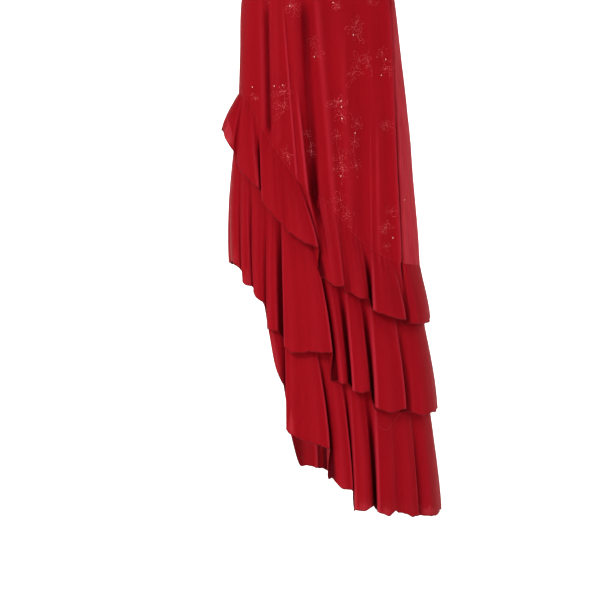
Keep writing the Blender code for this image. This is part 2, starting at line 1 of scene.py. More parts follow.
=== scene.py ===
"""Looks of a red chiffon maxi dress with narrow straps, a slanting hem and three diagonal flounces.

Lengths are in millimetres in the tables and grids, and in metres in the meshes. X runs to the viewer's
right, Y away from the viewer and Z up, and the front of the dress faces -Y. A drop is the distance below
the shoulders. Left and right in the tables are the viewer's, and strap_left is on the wearer's left.
"""

import functools
import math
import random

import bpy
import numpy as np
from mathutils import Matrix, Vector
from mathutils.bvhtree import BVHTree


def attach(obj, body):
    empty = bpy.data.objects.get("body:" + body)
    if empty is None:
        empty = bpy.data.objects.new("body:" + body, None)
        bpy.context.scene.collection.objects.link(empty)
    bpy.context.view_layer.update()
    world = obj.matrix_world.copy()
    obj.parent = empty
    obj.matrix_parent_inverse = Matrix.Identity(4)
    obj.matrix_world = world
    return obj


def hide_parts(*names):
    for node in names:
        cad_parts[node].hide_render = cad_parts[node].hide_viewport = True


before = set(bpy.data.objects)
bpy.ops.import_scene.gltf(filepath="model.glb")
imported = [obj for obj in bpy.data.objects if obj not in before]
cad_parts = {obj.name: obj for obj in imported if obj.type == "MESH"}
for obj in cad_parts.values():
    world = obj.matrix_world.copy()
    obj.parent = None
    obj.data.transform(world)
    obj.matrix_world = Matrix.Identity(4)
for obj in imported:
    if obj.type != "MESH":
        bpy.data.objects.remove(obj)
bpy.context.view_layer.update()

bl_info = {
    "name": "Chiffon maxi dress",
    "version": (1, 0, 0),
    "blender": (4, 5, 0),
    "location": "View3D > Sidebar > Dress",
    "description": "Cloth, rolled hems, sewing and glitter sprays of a maxi dress with flounces",
    "category": "Object",
}

MM = 0.001
BODY = "root"

# Steps of the panels' meshes across and down, and how far they go on below the last seam
PANEL_ACROSS = {"front": 280, "back": 200}
PANEL_DOWN = {"front": 104, "back": 92}
PANEL_BELOW_LAST_SEAM = 6.0

# Steps of the flounces' meshes across a fold, on through the valley, beside the side seams, and down
FOLD_STEPS = (4, 8, 8, 4)
VALLEY_STEPS = (3, 4, 6)
SIDE_STEPS = 6
FLOUNCE_DOWN = 32

# Rounds in which a place on the form is found from its X, and one on the panels' upper edge
ROUNDS = 8
EDGE_ROUNDS = 20

# The form that the dress hangs on, as half ovals in front of and behind the side seams
FORM_COLUMNS = ("drop", "centre", "half_width", "front", "back")
FORM = (
    (100, 0, 132, 84, 92),
    (160, 0, 146, 106, 102),
    (205, 0, 155, 120, 104),
    (255, 0, 158, 126, 102),
    (310, 0, 150, 112, 95),
    (400, 0, 131, 95, 87),
    (490, 1, 157, 106, 104),
    (600, 6, 165, 114, 120),
    (700, 10, 173, 117, 121),
    (800, 11, 182, 120, 124),
    (990, 22, 187, 126, 130),
    (1130, 31, 185, 128, 132),
    (1290, 39, 190, 131, 135),
    (1530, 44, 195, 134, 138),
)

# Bust fullness that the darts shape, one on each side of the front. It is flattened less than the creases are
# at the side seams
BUST = {"x": 70.0, "drop": 248.0, "half_width": 44.0, "half_height": 46.0, "rise": 15.0}
BUST_FLATTENED = 0.2

# Darts, one on each side: from where to where they run, and how deep and wide their stitched groove is
DART_COLUMNS = ("x_from", "drop_from", "x_to", "drop_to")
DARTS = {"front": (150, 284, 92, 258), "back": (60, 322, 64, 480)}
DART_DEPTH = 0.9
DART_WIDTH = 2.4

# Upper edges of the panels, from the centre out to the side seam
EDGE_COLUMNS = ("x", "front_drop", "back_drop")
UPPER_EDGE = (
    (0, 176, 206),
    (30, 170, 204),
    (56, 150, 192),
    (79, 120, 161),
    (91, 119, 160),
    (108, 146, 176),
    (130, 182, 195),
    (155, 205, 205),
)

# The slanting lines on the panels where the flounces are sewn
SEAM_COLUMNS = ("x", "top", "middle", "lower")
SEAMS = (
    (-175, 668, 738, 944),
    (-150, 684, 775, 984),
    (-112, 750, 828, 1036),
    (-75, 806, 876, 1094),
    (-26, 868, 930, 1150),
    (20, 899, 980, 1178),
    (54, 942, 1016, 1206),
    (100, 984, 1048, 1236),
    (150, 1014, 1074, 1264),
    (205, 1026, 1088, 1280),
    (240, 1030, 1090, 1284),
)

# Creases of the panels: where each starts and ends, its width, how far it rises or sinks, and how far it
# leans over towards the viewer's right
CREASE_COLUMNS = ("name", "x_high", "x_low", "drop_high", "drop_low", "width", "rise", "lean")
CREASES = {
    "front": (
        ("left_roll", -134, -142, 440, 670, 15, 6, 0),
        ("left_trough", -107, -100, 430, 740, 7, -10, -3),
        ("left_band", -86, -78, 450, 760, 10, 4.5, 0),
        ("thin_ridge", -74, -45, 470, 830, 3.6, 4.2, 2),
        ("second_ridge", -46, -22, 650, 872, 4.5, 5.5, 3),
        ("middle_trough", -28, -10, 430, 875, 14, -13, -2),
        ("pocket", -12, -4, 780, 900, 7, -7, 0),
        ("middle_ridge", -4, 37, 430, 915, 12, 9, -3),
        ("slack", 46, 62, 520, 930, 10, 3, 0),
        ("right_trough", 88, 98, 440, 970, 20, -8, 0),
        ("thin_trough", 113, 117, 700, 1000, 4, -3, 0),
        ("edge_ridge", 132, 160, 420, 1008, 6.5, 8, 6),
        ("deep_line", 141, 168, 420, 1014, 3.2, -6.5, 0),
        ("strip_ridge", 150, 178, 520, 1010, 5, 2, 0),
        ("strip_trough", 157, 189, 600, 1010, 4, -1.5, 0),
    ),
    "back": (
        ("left_trough", -112, -116, 450, 720, 10, -7, -2),
        ("left_ridge", -86, -90, 440, 790, 10, 7, 3),
        ("left_line", -64, -60, 480, 820, 4, 3, 1),
        ("centre_trough", -34, -30, 430, 880, 13, -9, -2),
        ("centre_ridge", 2, 12, 430, 915, 11, 7, 4),
        ("centre_line", 26, 38, 520, 930, 4, -3, 0),
        ("right_trough", 52, 61, 450, 960, 9, -7, 0),
        ("right_ridge", 86, 105, 440, 990, 11, 8, 5),
        ("side_trough", 126, 147, 460, 1000, 7, -7, 0),
    ),
}

# Over how far a crease starts and ends, and how near the side seams it flattens
FADE_IN = 110.0
FADE_OUT = 34.0
FLAT_AT_SIDE = 0.3

# Soft small waves in the cloth: their lengths across and down, and their heights
PANEL_WAVES = ((46, 700, 0.7), (19, 420, 0.1))
FLOUNCE_WAVES = ((42, 900, 0.5), (19, 460, 0.08))
SEAM_PUCKERS = ((10, 1, 0.7),)
HEM_WAVES = ((46, 1, 1.3), (21, 1, 0.6))
PANEL_WAVE_SEED = 3
PANEL_PUCKER_SEED = 8

# The share of the panels' waves that the body of the dress has, and where and over how far the skirt's begin
BODY_WAVES = 0.3
SKIRT_FROM = 330.0
SKIRT_OVER = 200.0

# The share of a flounce's way down at which its waves are full, and over how far from the side seams they start
WAVES_FULL = 0.5
WAVES_BESIDE = 20.0

# Puckers: how fast they fade on the panels and down the flounces, their share of height on the panels, and over
# how far below the seam they start on the flounces
PANEL_PUCKER_FADE = 9.0
PANEL_PUCKERS = 0.6
FLOUNCE_PUCKER_FADE = 16.0
FLOUNCE_PUCKER_START = 6.0

# Below the top seam the panel keeps this far behind the flounces: how far, from how far below, and over how far
SINK = 2.2
SINK_FROM = 3.0
SINK_OVER = 22.0

# How far the side seams pull in
SIDE_GROOVE = 0.5

# Folds of the flounces. top is where a fold starts on its seam. left, right and the drops are its edges
# and its hem. stand is how far it stands out, left_out and right_out are the shares of that at its edges,
# and valley is how far the cloth beyond its right edge stands out
FLOUNCE_FOLD_COLUMNS = (
    "name", "top", "left", "right", "drop_left", "drop_mid", "drop_right",
    "stand", "left_out", "right_out", "valley",
)
FLOUNCE_FOLDS = {
    "top": (
        ("a_side", -166, -191, -171, 754, 768, 794, 26, 0.9, 0.7, 14),
        ("a_front", -148, -164, -120, 810, 842, 864, 24, 0.6, 0.7, 0),
        ("b_left", -112, -112, -72, 892, 914, 936, 26, 0.8, 0.85, 20),
        ("b_right", -62, -54, 2, 954, 972, 984, 28, 0.8, 0.8, 0),
        ("c_left", -22, 8, 52, 1044, 1058, 1062, 20, 0.3, 0.75, 12),
        ("c_right", 52, 62, 102, 1072, 1084, 1088, 18, 0.5, 0.6, 0),
        ("d", 112, 113, 177, 1110, 1124, 1130, 27, 0.8, 0.8, 4),
        ("e", 168, 183, 213, 1140, 1142, 1142, 16, 0.4, 0.9, 10),
    ),
    "middle": (
        ("f1", -168, -173, -161, 1018, 1022, 1028, 14, 0.9, 0.7, 0),
        ("f2", -150, -153, -136, 1056, 1060, 1064, 16, 0.6, 0.6, 0),
        ("f3", -128, -130, -108, 1076, 1086, 1096, 18, 0.6, 0.6, 8),
        ("f4", -98, -104, -83, 1146, 1152, 1152, 20, 0.6, 0.75, -2),
        ("f5_left", -69, -67, -36, 1184, 1194, 1194, 26, 0.8, 0.85, 21),
        ("f5_right", -32, -16, 30, 1192, 1192, 1194, 27, 0.8, 0.8, 0),
        ("f6", -2, 35, 60, 1252, 1256, 1256, 20, 0.3, 0.65, -1),
        ("f7", 52, 72, 105, 1270, 1276, 1272, 22, 0.95, 0.65, -2),
        ("f8", 106, 119, 178, 1306, 1316, 1310, 26, 0.92, 0.8, 4),
        ("f9", 172, 186, 229, 1320, 1328, 1326, 19, 0.4, 0.9, 12),
    ),
    "lower": (
        ("g_hidden_left", -166, -160, -142, 1004, 1022, 1040, 2, 0.8, 0.6, 1),
        ("g_hidden_right", -138, -138, -108, 1046, 1076, 1106, 3, 0.6, 0.6, 2),
        ("g0", -100, -100, -68, 1150, 1222, 1270, 14, 0.6, 0.5, 2),
        ("g1_left", -68, -64, -38, 1350, 1362, 1368, 25, 0.8, 0.85, 20),
        ("g1_right", -32, -20, 26, 1374, 1380, 1386, 27, 0.8, 0.8, 0),
        ("g2", 8, 27, 70, 1450, 1468, 1472, 22, 0.4, 0.8, 0),
        ("g3", 60, 77, 112, 1512, 1514, 1506, 23, 0.8, 0.6, -1),
        ("g4_left", 114, 124, 158, 1518, 1526, 1516, 26, 0.95, 0.75, 16),
        ("g4_right", 158, 172, 205, 1522, 1532, 1532, 23, 0.7, 0.8, 5),
        ("g5", 198, 212, 242, 1534, 1538, 1538, 19, 0.5, 0.9, 12),
    ),
}

# Each flounce's least distance from the form, and what its front and back share at the side seams
TIER_COLUMNS = ("name", "clearance", "left_out", "left_drop", "right_out", "right_drop", "folds", "seed")
TIERS = (
    ("top", 13.0, 28.0, 751, 12.0, 1142, 8, 11),
    ("middle", 8.0, 14.0, 1026, 13.0, 1330, 9, 5),
    ("lower", 4.0, 5.0, 1000, 13.0, 1538, 9, 23),
)

# The hem of the back flounces, whose folds are drawn unevenly
BACK_HEM_COLUMNS = ("x", "top", "middle", "lower")
BACK_HEM = (
    (-190, 751, 1018, 1000),
    (-165, 780, 1024, 1012),
    (-140, 812, 1054, 1040),
    (-110, 856, 1104, 1100),
    (-90, 888, 1136, 1180),
    (-74, 912, 1160, 1262),
    (-62, 930, 1178, 1330),
    (-53, 942, 1190, 1452),
    (-30, 972, 1208, 1462),
    (30, 1040, 1252, 1480),
    (64, 1070, 1276, 1512),
    (100, 1096, 1298, 1536),
    (140, 1116, 1314, 1542),
    (240, 1142, 1330, 1540),
)

# Folds of the back flounces: how far they stand out, how unevenly wide they are, how far out their edges are and
# how much one edge may be farther out than the other, how far out their valleys are and at most what share of
# the fold that is, how far the first and last keep from the side seams, and on how long a flounce they are full
BACK_FOLD_STAND = (14.0, 24.0)
BACK_FOLD_UNEVEN = 0.32
BACK_EDGE_OUT = 0.6
BACK_LEAN = 0.15
BACK_VALLEY_OUT = (2.0, 7.0)
DEEPEST_VALLEY = 0.5
BACK_SIDE_MARGIN = 12.0
FULL_FOLD_HEIGHT = 210.0

# A fold's shoulders: how far across it they are, and how much of the way out to its crown they have gone
SHOULDER = 0.16
SHOULDER_RISE = 0.45

# How far the hem is lifted in a valley, as a share of the valley's depth
VALLEY_LIFT = 0.15

# The least room between two folds on the front, and the room between them on the back
VALLEY_WIDTH = 5.0
BACK_VALLEY_WIDTH = 12.0

# The power by which folds open out from the seam down to the hem
FALL = 1.5

# The drop of the oval on which places round the dress are measured, and its steps
OVAL_DROP = 1200.0
OVAL_STEPS = 720

# How far a valley tucks in under the neighbour that stands farther out, and the step that tucks it fully
TUCK = 8.0
TUCK_STEP = 14.0

# How much of a fold's rise is left halfway down its right flank
FLANK_OUT = 0.3

# How many steps across are searched for higher cloth beside a point, and the least distance that counts, for the
# shade painted deep between folds
HOLLOW_REACH = 18
HOLLOW_LEAST = 4.0

# How many steps to each side a ridge's sharpness is measured over, and how much it is strengthened. The sharper a
# ridge, the paler the sheen painted on it
CREST_REACH = 2
CREST_SHARP = 4.0

# Edges sharper than this aren't smoothed over
SHARP_ANGLE = math.radians(60)

# The strip of the panels beside the wearer's left side seam where one layer shows, more see-through and painted
# paler for the light coming through it. On the front it starts at the last deep crease and on the back at this X.
# Then how far in it is full, from where and over how far down it gets stronger, and how strong it is
SHEER_LINE = "deep_line"
SHEER_BACK_X = 164.0
SHEER_OVER = {"front": 8.0, "back": 26.0}
SHEER_FROM = 430.0
SHEER_DOWN = 160.0
SHEER_STRENGTH = 0.9

# A pale spot is narrow at its top and wide at its foot: its half width grows from the first share to the
# second, over the divisor. Its edge is this far out and this soft, as shares of its size
SPOT_WIDENS = (0.2, 2.0)
SPOT_DIVISOR = 1.4
SPOT_EDGE = 1.35
SPOT_SOFT = 0.6

# Places where a single layer shows, painted paler for light through it: middle, half width, half height and
# strength
SHEER_COLUMNS = ("x", "drop", "half_width", "half_height", "strength")
SHEER_SPOTS = {
    "flounce_top_front": ((-182, 752, 9, 26, 0.7),),
    "flounce_middle_front": ((-143, 1044, 6, 20, 0.35), (-168, 1004, 5, 20, 0.25)),
    "flounce_lower_front": (
        (-54, 1338, 6, 26, 0.4), (-92, 1200, 14, 60, 0.25), (92, 1508, 22, 9, 0.3), (134, 1518, 16, 8, 0.4),
        (228, 1526, 14, 9, 0.4),
    ),
}

# Straps: the way of their middle over the shoulder, and where their edges meet the neckline
STRAP_COLUMNS = ("x", "y", "drop")
STRAP_WAY = (
    (87, -80, 70),
    (91, -52, 23),
    (93, -24, 3),
    (94, 0, -0.7),
    (93, 28, 6),
    (91, 58, 40),
    (87, 84, 100),
)
STRAP_INNER = 79.0
STRAP_OUTER = 91.0
STRAP_THICK = 1.4
STRAP_STEPS = 90

# How far a strap's ends reach down inside the panels and how far behind their cloth, and how many rows of the
# panels are searched for the place
STRAP_OVERLAP = 12.0
STRAP_BEHIND = 1.1
STRAP_ROWS = 12

# How far beyond the cloth's edge the middle of a binding or a hem lies
BINDING_BELOW = 0.8
HEM_BELOW = 0.3

# Rows of stitches: how far in from the edge or the seam, and how far out from the middle of the cloth
HEM_STITCH = (0.2, 0.8)
BINDING_STITCH = (1.7, 0.75)
SEAM_STITCH = (1.6, 0.35)

# The stretch of a dart that is stitched, as shares of it, in how many steps, and how far out
DART_STITCHED = (0.02, 0.97)
DART_STEPS = 30
DART_STITCH_OUT = 0.35

# Rows across a strap's foot: how far below the edge, how far in from the strap's sides, in how many steps, and
# how far out. Then rows along the strap: how far from its middle, and how many steps of its ends have none
FOOT_ROWS = (4.5, 9.5)
FOOT_MARGIN = 1.0
FOOT_STEPS = 6
FOOT_STITCH_OUT = 0.4
STRAP_STITCH = (-4.3, 4.3)
STRAP_BARE_STEPS = 5

# Glitter sprays: middle, width and height of each, and how many flowers it has
SPRAY_COLUMNS = ("x", "drop", "width", "height", "flowers")
SPRAYS = {
    "front": (
        (-51, 506, 30, 36, 1),
        (30, 500, 20, 24, 1),
        (-4, 584, 20, 58, 2),
        (81, 552, 28, 46, 2),
        (77, 628, 26, 52, 2),
        (134, 616, 16, 74, 2),
        (106, 618, 14, 54, 1),
        (46, 710, 30, 60, 2),
        (-130, 690, 14, 60, 1),
        (-72, 696, 30, 68, 2),
        (44, 806, 24, 108, 3),
        (77, 786, 20, 124, 3),
        (-60, 802, 18, 50, 1),
        (-18, 782, 18, 78, 2),
        (50, 910, 32, 60, 2),
        (142, 744, 20, 26, 1),
        (142, 956, 22, 108, 3),
        (-96, 470, 26, 60, 2),
        (108, 470, 24, 62, 2),
        (14, 430, 24, 70, 2),
        (-48, 392, 26, 64, 2),
        (64, 372, 24, 60, 2),
        (-92, 300, 26, 70, 2),
        (0, 310, 26, 76, 2),
        (96, 290, 24, 64, 2),
        (-36, 226, 24, 50, 2),
        (44, 214, 24, 46, 1),
    ),
    "back": (
        (-70, 250, 26, 60, 2),
        (6, 268, 26, 60, 2),
        (80, 246, 26, 60, 2),
        (-34, 356, 24, 70, 2),
        (48, 372, 24, 64, 2),
        (-92, 420, 24, 70, 2),
        (4, 468, 26, 80, 2),
        (98, 470, 24, 60, 2),
        (-56, 540, 26, 90, 3),
        (54, 560, 24, 70, 2),
        (-118, 590, 18, 70, 2),
        (118, 610, 22, 90, 3),
        (0, 630, 26, 60, 2),
        (-84, 670, 24, 70, 2),
        (72, 700, 26, 110, 3),
        (-20, 760, 24, 80, 2),
        (128, 766, 20, 80, 2),
        (34, 836, 26, 70, 2),
        (94, 880, 26, 100, 3),
        (144, 930, 20, 80, 2),
    ),
}

# How much wider than its table's width a spray is drawn, how far above the seam it ends, and its random seed
SPRAY_WIDER = 1.2
SPRAY_ABOVE_SEAM = 4.0
SPRAY_SEEDS = {"front": 31, "back": 47}

# How far out from the middle of the cloth the flakes and sequins lie, and over how far the way out is measured
# round the form, as an angle, and down
FLAKE_LIFT = 0.6
SEQUIN_LIFT = 0.7
NEAR_ANGLE = 0.003
NEAR_DROP = 0.6

# Points of a petal's outline and of a stem, and nearly a full turn
PETAL_POINTS = 11
STEM_POINTS = 14
NEARLY_ROUND = 6.28

# Sequins that catch the light among the sprays, as x and drop
SEQUINS = {
    "front": (
        (-130, 664), (-86, 662), (-70, 660), (46, 692), (47, 704), (48, 727), (-6, 604), (72, 560),
        (134, 608), (174, 892), (-56, 502), (30, 496), (75, 756), (46, 842), (128, 640), (150, 968),
        (-92, 280), (2, 290), (94, 276), (-48, 380), (62, 360), (16, 416), (-36, 214), (44, 204),
    ),
    "back": (
        (-70, 236), (8, 250), (82, 232), (-34, 338), (48, 360), (-92, 404), (6, 446), (-54, 512),
        (56, 546), (118, 588), (0, 618), (-84, 652), (74, 668), (-20, 738), (130, 750), (36, 818),
        (96, 852), (142, 912),
    ),
}

# A pulled thread that lies in a loop on the lower flounce, as x and drop, its width and its steps
PULLED_THREAD = (
    (120, 1326), (121, 1340), (128, 1351), (137, 1354), (147, 1348), (158, 1334), (170, 1322),
)
THREAD_WIDTH = 0.5
THREAD_STEPS = 60

# The studio floor, in metres: radius and height of its rings, how far below the shoulders it is, and its sides
FLOOR_RINGS = ((3.5, 0.0), (5.5, 0.12), (7.5, 0.6), (9.2, 1.7), (10.2, 3.4), (10.6, 5.5), (10.7, 8.5))
FLOOR_DROP = 1.80
FLOOR_SIDES = 96

# The lights, in metres: where each shines from and at, and how wide it is
LIGHTS = {
    "key": ((-2.7, -5.3, 2.1), (0, 0, -0.95), 1.3),
    "wall": ((0.0, 4.2, 4.0), (0, 10.2, -0.2), 4.0),
}

# The camera, in metres: where it stands, what it looks at and how far it sees, and its lens in millimetres
CAMERA_EYE = (-0.036, -4.94, -0.72)
CAMERA_AIM = (-0.036, -0.14, -1.09)
CAMERA_REACH = 60.0
CAMERA_LENS = 144.0


def linear(hex_colour):
    """An sRGB hex colour as linear red, green, blue and alpha."""
    channels = [int(hex_colour[at:at + 2], 16) / 255 for at in (1, 3, 5)]
    lit = [c / 12.92 if c <= 0.04045 else ((c + 0.055) / 1.055) ** 2.4 for c in channels]
    return (*lit, 1.0)


def column(rows, names, name):
    """One named column of a table."""
    at = names.index(name)
    return np.array([row[at] for row in rows], dtype=float)


def named(rows, names):
    """A table's rows as dictionaries from column to value."""
    return [dict(zip(names, row)) for row in rows]


def smooth(xs, ys, x):
    """A smooth curve through the points (xs, ys) that never overshoots them, flat beyond its ends."""
    xs = np.asarray(xs, dtype=float)
    ys = np.asarray(ys, dtype=float)
    x = np.clip(np.asarray(x, dtype=float), xs[0], xs[-1])
    step = np.diff(xs)
    slope = np.diff(ys) / step
    rise = np.zeros(len(xs))
    before, after = slope[:-1], slope[1:]
    same = before * after > 0
    rise[1:-1][same] = 2 * before[same] * after[same] / (before[same] + after[same])
    rise[0], rise[-1] = slope[0], slope[-1]
    i = np.clip(np.searchsorted(xs, x, side="right") - 1, 0, len(step) - 1)
    t = (x - xs[i]) / step[i]
    h = step[i]
    return (
        (2 * t**3 - 3 * t**2 + 1) * ys[i]
        + (t**3 - 2 * t**2 + t) * h * rise[i]
        + (3 * t**2 - 2 * t**3) * ys[i + 1]
        + (t**3 - t**2) * h * rise[i + 1]
    )


def ease(t):
    """0 to 1 with a soft start and end."""
    t = np.clip(t, 0.0, 1.0)
    return t * t * (3 - 2 * t)


def unit(vectors):
    """Vectors scaled to length 1."""
    return vectors / np.maximum(np.linalg.norm(vectors, axis=-1, keepdims=True), 1e-9)


def lengths_along(points):
    """How far along a line of points each of them is."""
    return np.concatenate([[0], np.cumsum(np.linalg.norm(np.diff(points, axis=0), axis=1))])


def even_curve(points, count):
    """A smooth curve through the points, in even steps."""
    length = lengths_along(points)
    even = np.linspace(0, length[-1], count)
    return np.stack([smooth(length, points[:, k], even) for k in range(3)], axis=1)


def sampled(values, at):
    """Rows of an array at places between its rows."""
    low = np.clip(np.floor(at).astype(int), 0, len(values) - 2)
    share = (at - low)[:, None]
    return values[low] * (1 - share) + values[low + 1] * share


def waves(u, v, kinds, seed):
    """Soft uneven waves over places u across and v down."""
    draw = random.Random(seed)
    total = np.zeros(np.broadcast(u, v).shape)
    for across, down, height in kinds:
        for _ in range(3):
            turn = draw.uniform(0, 2 * math.pi)
            longer = draw.uniform(0.75, 1.35)
            slant = draw.choice((-1, 1)) * draw.uniform(0.6, 1.4)
            total = total + height / 2 * np.sin(
                2 * math.pi * (u / (across * longer) + slant * v / down) + turn
            )
    return total


def form_at(drop, side):
    """Centre, half width and depth of the form at a drop, on the front or the back."""
    drops = column(FORM, FORM_COLUMNS, "drop")
    names = ("centre", "half_width", side)
    return tuple(smooth(drops, column(FORM, FORM_COLUMNS, name), drop) for name in names)


def way_out(angle, half_width, depth):
    """The form's outward direction in plan, as X and the share towards the viewer or away."""
    x = np.cos(angle) / half_width
    y = np.sin(angle) / depth
    length = np.hypot(x, y)
    return x / length, y / length


def form_point(angle, drop, out, side):
    """A point that stands out from the form. Angle 0 is the right side seam and pi the left one."""
    centre, half_width, depth = form_at(drop, side)
    out_x, out_y = way_out(angle, half_width, depth)
    towards = -1.0 if side == "front" else 1.0
    x = centre + half_width * np.cos(angle) + out * out_x
    y = towards * (depth * np.sin(angle) + out * out_y)
    return np.stack([x, y, -np.asarray(drop, dtype=float) + 0 * x], axis=-1)


def angle_at(x, drop, out, side):
    """The angle at which a point that stands out from the form lies at x."""
    centre, half_width, depth = form_at(drop, side)
    angle = np.arccos(np.clip((x - centre) / (half_width + out), -1, 1))
    for _ in range(ROUNDS):
        out_x, _ = way_out(angle, half_width, depth)
        angle = np.arccos(np.clip((x - centre - out * out_x) / half_width, -1, 1))
    return angle


def seam_drop(tier, x):
    """Where a flounce's seam lies on the panels."""
    return smooth(column(SEAMS, SEAM_COLUMNS, "x"), column(SEAMS, SEAM_COLUMNS, tier), x)


def upper_edge(angle, side):
    """The drop of the panel's upper edge at an angle."""
    xs = column(UPPER_EDGE, EDGE_COLUMNS, "x")
    drops = column(UPPER_EDGE, EDGE_COLUMNS, side + "_drop")
    drop = np.full_like(angle, drops.mean())
    for _ in range(EDGE_ROUNDS):
        centre, half_width, _ = form_at(drop, side)
        drop = smooth(xs, drops, np.abs(centre + half_width * np.cos(angle)))
    return drop


def crease_middle(crease, drop):
    """X of a crease's middle at a drop."""
    along = (drop - crease["drop_high"]) / (crease["drop_low"] - crease["drop_high"])
    return crease["x_high"] + (crease["x_low"] - crease["x_high"]) * along


def creases(x, drop, side):
    """How far the panel's creases rise or sink, and how far they lean over."""
    out = np.zeros_like(x)
    over = np.zeros_like(x)
    for crease in named(CREASES[side], CREASE_COLUMNS):
        shape = np.exp(-(((x - crease_middle(crease, drop)) / crease["width"]) ** 2))
        starts = ease((drop - crease["drop_high"]) / FADE_IN)
        ends = ease((crease["drop_low"] + FADE_OUT - drop) / FADE_OUT)
        out = out + crease["rise"] * shape * starts * ends
        over = over + crease["lean"] * shape * starts * ends
    return out, over


def dart_groove(x, drop, side):
    """The stitched grooves of the darts, which taper to nothing."""
    x0, y0, x1, y1 = DARTS[side]
    long_way, down_way = x1 - x0, y1 - y0
    share = ((np.abs(x) - x0) * long_way + (drop - y0) * down_way) / (long_way**2 + down_way**2)
    share = np.clip(share, 0, 1)
    away = np.hypot(np.abs(x) - x0 - long_way * share, drop - y0 - down_way * share)
    return -DART_DEPTH * np.exp(-((away / DART_WIDTH) ** 2)) * np.sqrt(np.clip((1 - share) * 3, 0, 1))


def panel_point(angle, drop, side):
    """Points of a panel's middle surface."""
    x = form_point(angle, drop, 0.0, side)[..., 0]
    near_side = ease(np.sin(angle) / FLAT_AT_SIDE)
    out, over = creases(x, drop, side)
    skirt = ease((drop - SKIRT_FROM) / SKIRT_OVER)
    out = out + waves(x, drop, PANEL_WAVES, PANEL_WAVE_SEED) * (BODY_WAVES + (1 - BODY_WAVES) * skirt)
    to_seam = drop - seam_drop("top", x)
    puckers = waves(x, 0.0, SEAM_PUCKERS, PANEL_PUCKER_SEED) * PANEL_PUCKERS
    out = out + puckers * np.exp(-np.abs(to_seam) / PANEL_PUCKER_FADE)
    out = out + dart_groove(x, drop, side)
    if side == "front":
        across = (np.abs(x) - BUST["x"]) / BUST["half_width"]
        down = (drop - BUST["drop"]) / BUST["half_height"]
        out = out + BUST["rise"] * np.exp(-(across**2) - down**2) / np.maximum(near_side, BUST_FLATTENED)
    out = out * near_side - SINK * ease((to_seam - SINK_FROM) / SINK_OVER)
    _, half_width, _ = form_at(drop, side)
    return form_point(angle - over * near_side / half_width, drop, out, side)


@functools.lru_cache(maxsize=None)
def panel_cloth(side):
    """The middle surface of the front or the back as rows of points, with outward directions."""
    angle = np.linspace(math.pi, 0.0, PANEL_ACROSS[side] + 1)
    top = upper_edge(angle, side)
    centre, half_width, _ = form_at(OVAL_DROP, side)
    bottom = seam_drop("lower", centre + half_width * np.cos(angle)) + PANEL_BELOW_LAST_SEAM
    share = np.linspace(0, 1, PANEL_DOWN[side] + 1)[:, None]
    drop = top + (bottom - top) * share
    grid = panel_point(np.broadcast_to(angle, drop.shape), drop, side)
    close_at_sides(grid)
    return grid, grid_normals(grid, side)


def close_at_sides(grid):
    """Joins front and back at the side seams, with a slight groove."""
    for at, inwards in ((0, 1.0), (-1, -1.0)):
        grid[:, at, 1] = 0.0
        grid[:, at, 0] += SIDE_GROOVE * inwards


def grid_normals(grid, side):
    """Outward directions at a grid's points."""
    across = np.gradient(grid, axis=1)
    down = np.gradient(grid, axis=0)
    normal = np.cross(across, down)
    if side == "front":
        normal = -normal
    normal[:, 0] = (-1, 0, 0)
    normal[:, -1] = (1, 0, 0)
    return unit(normal)


@functools.lru_cache(maxsize=None)
def seam_ring(side, tier):
    """The points where a seam crosses the columns of a panel's mesh, and the ways out there."""
    panel, normal = panel_cloth(side)
    beyond = -panel[..., 2] - seam_drop(tier, panel[..., 0])
    row = np.argmax(beyond > 0, axis=0)
    col = np.arange(panel.shape[1])
    before, after = beyond[row - 1, col], beyond[row, col]
    share = (-before / (after - before))[:, None]
    ring = panel[row - 1, col] * (1 - share) + panel[row, col] * share
    out = normal[row - 1, col] * (1 - share) + normal[row, col] * share
    return ring, unit(out)


@functools.lru_cache(maxsize=None)
def unrolled():
    """Angles from the left side seam to the right one, and how far along a mean oval each of them lies."""
    angle = np.linspace(math.pi, 0.0, OVAL_STEPS + 1)
    _, half_width, depth = form_at(OVAL_DROP, "front")
    step = np.hypot(half_width * np.sin(angle), depth * np.cos(angle)) * (math.pi / OVAL_STEPS)
    return angle, np.concatenate([[0], np.cumsum((step[1:] + step[:-1]) / 2)])


def along_at(x, drop, out, side):
    """How far along the oval a hem point lies."""
    angles, along = unrolled()
    return float(np.interp(-angle_at(x, drop, out, side), -angles, along))


def hem_drop(tier, x):
    """The hem of a back flounce."""
    xs = column(BACK_HEM, BACK_HEM_COLUMNS, "x")
    return float(smooth(xs, column(BACK_HEM, BACK_HEM_COLUMNS, tier["name"]), x))


def plan_x(tier, place):
    """X of a place along the back hem."""
    angles, along = unrolled()
    angle = np.interp(place, along, angles)
    x = 0.0
    for _ in range(ROUNDS):
        x = float(form_point(angle, hem_drop(tier, x), tier["clearance"], "back")[0])
    return x


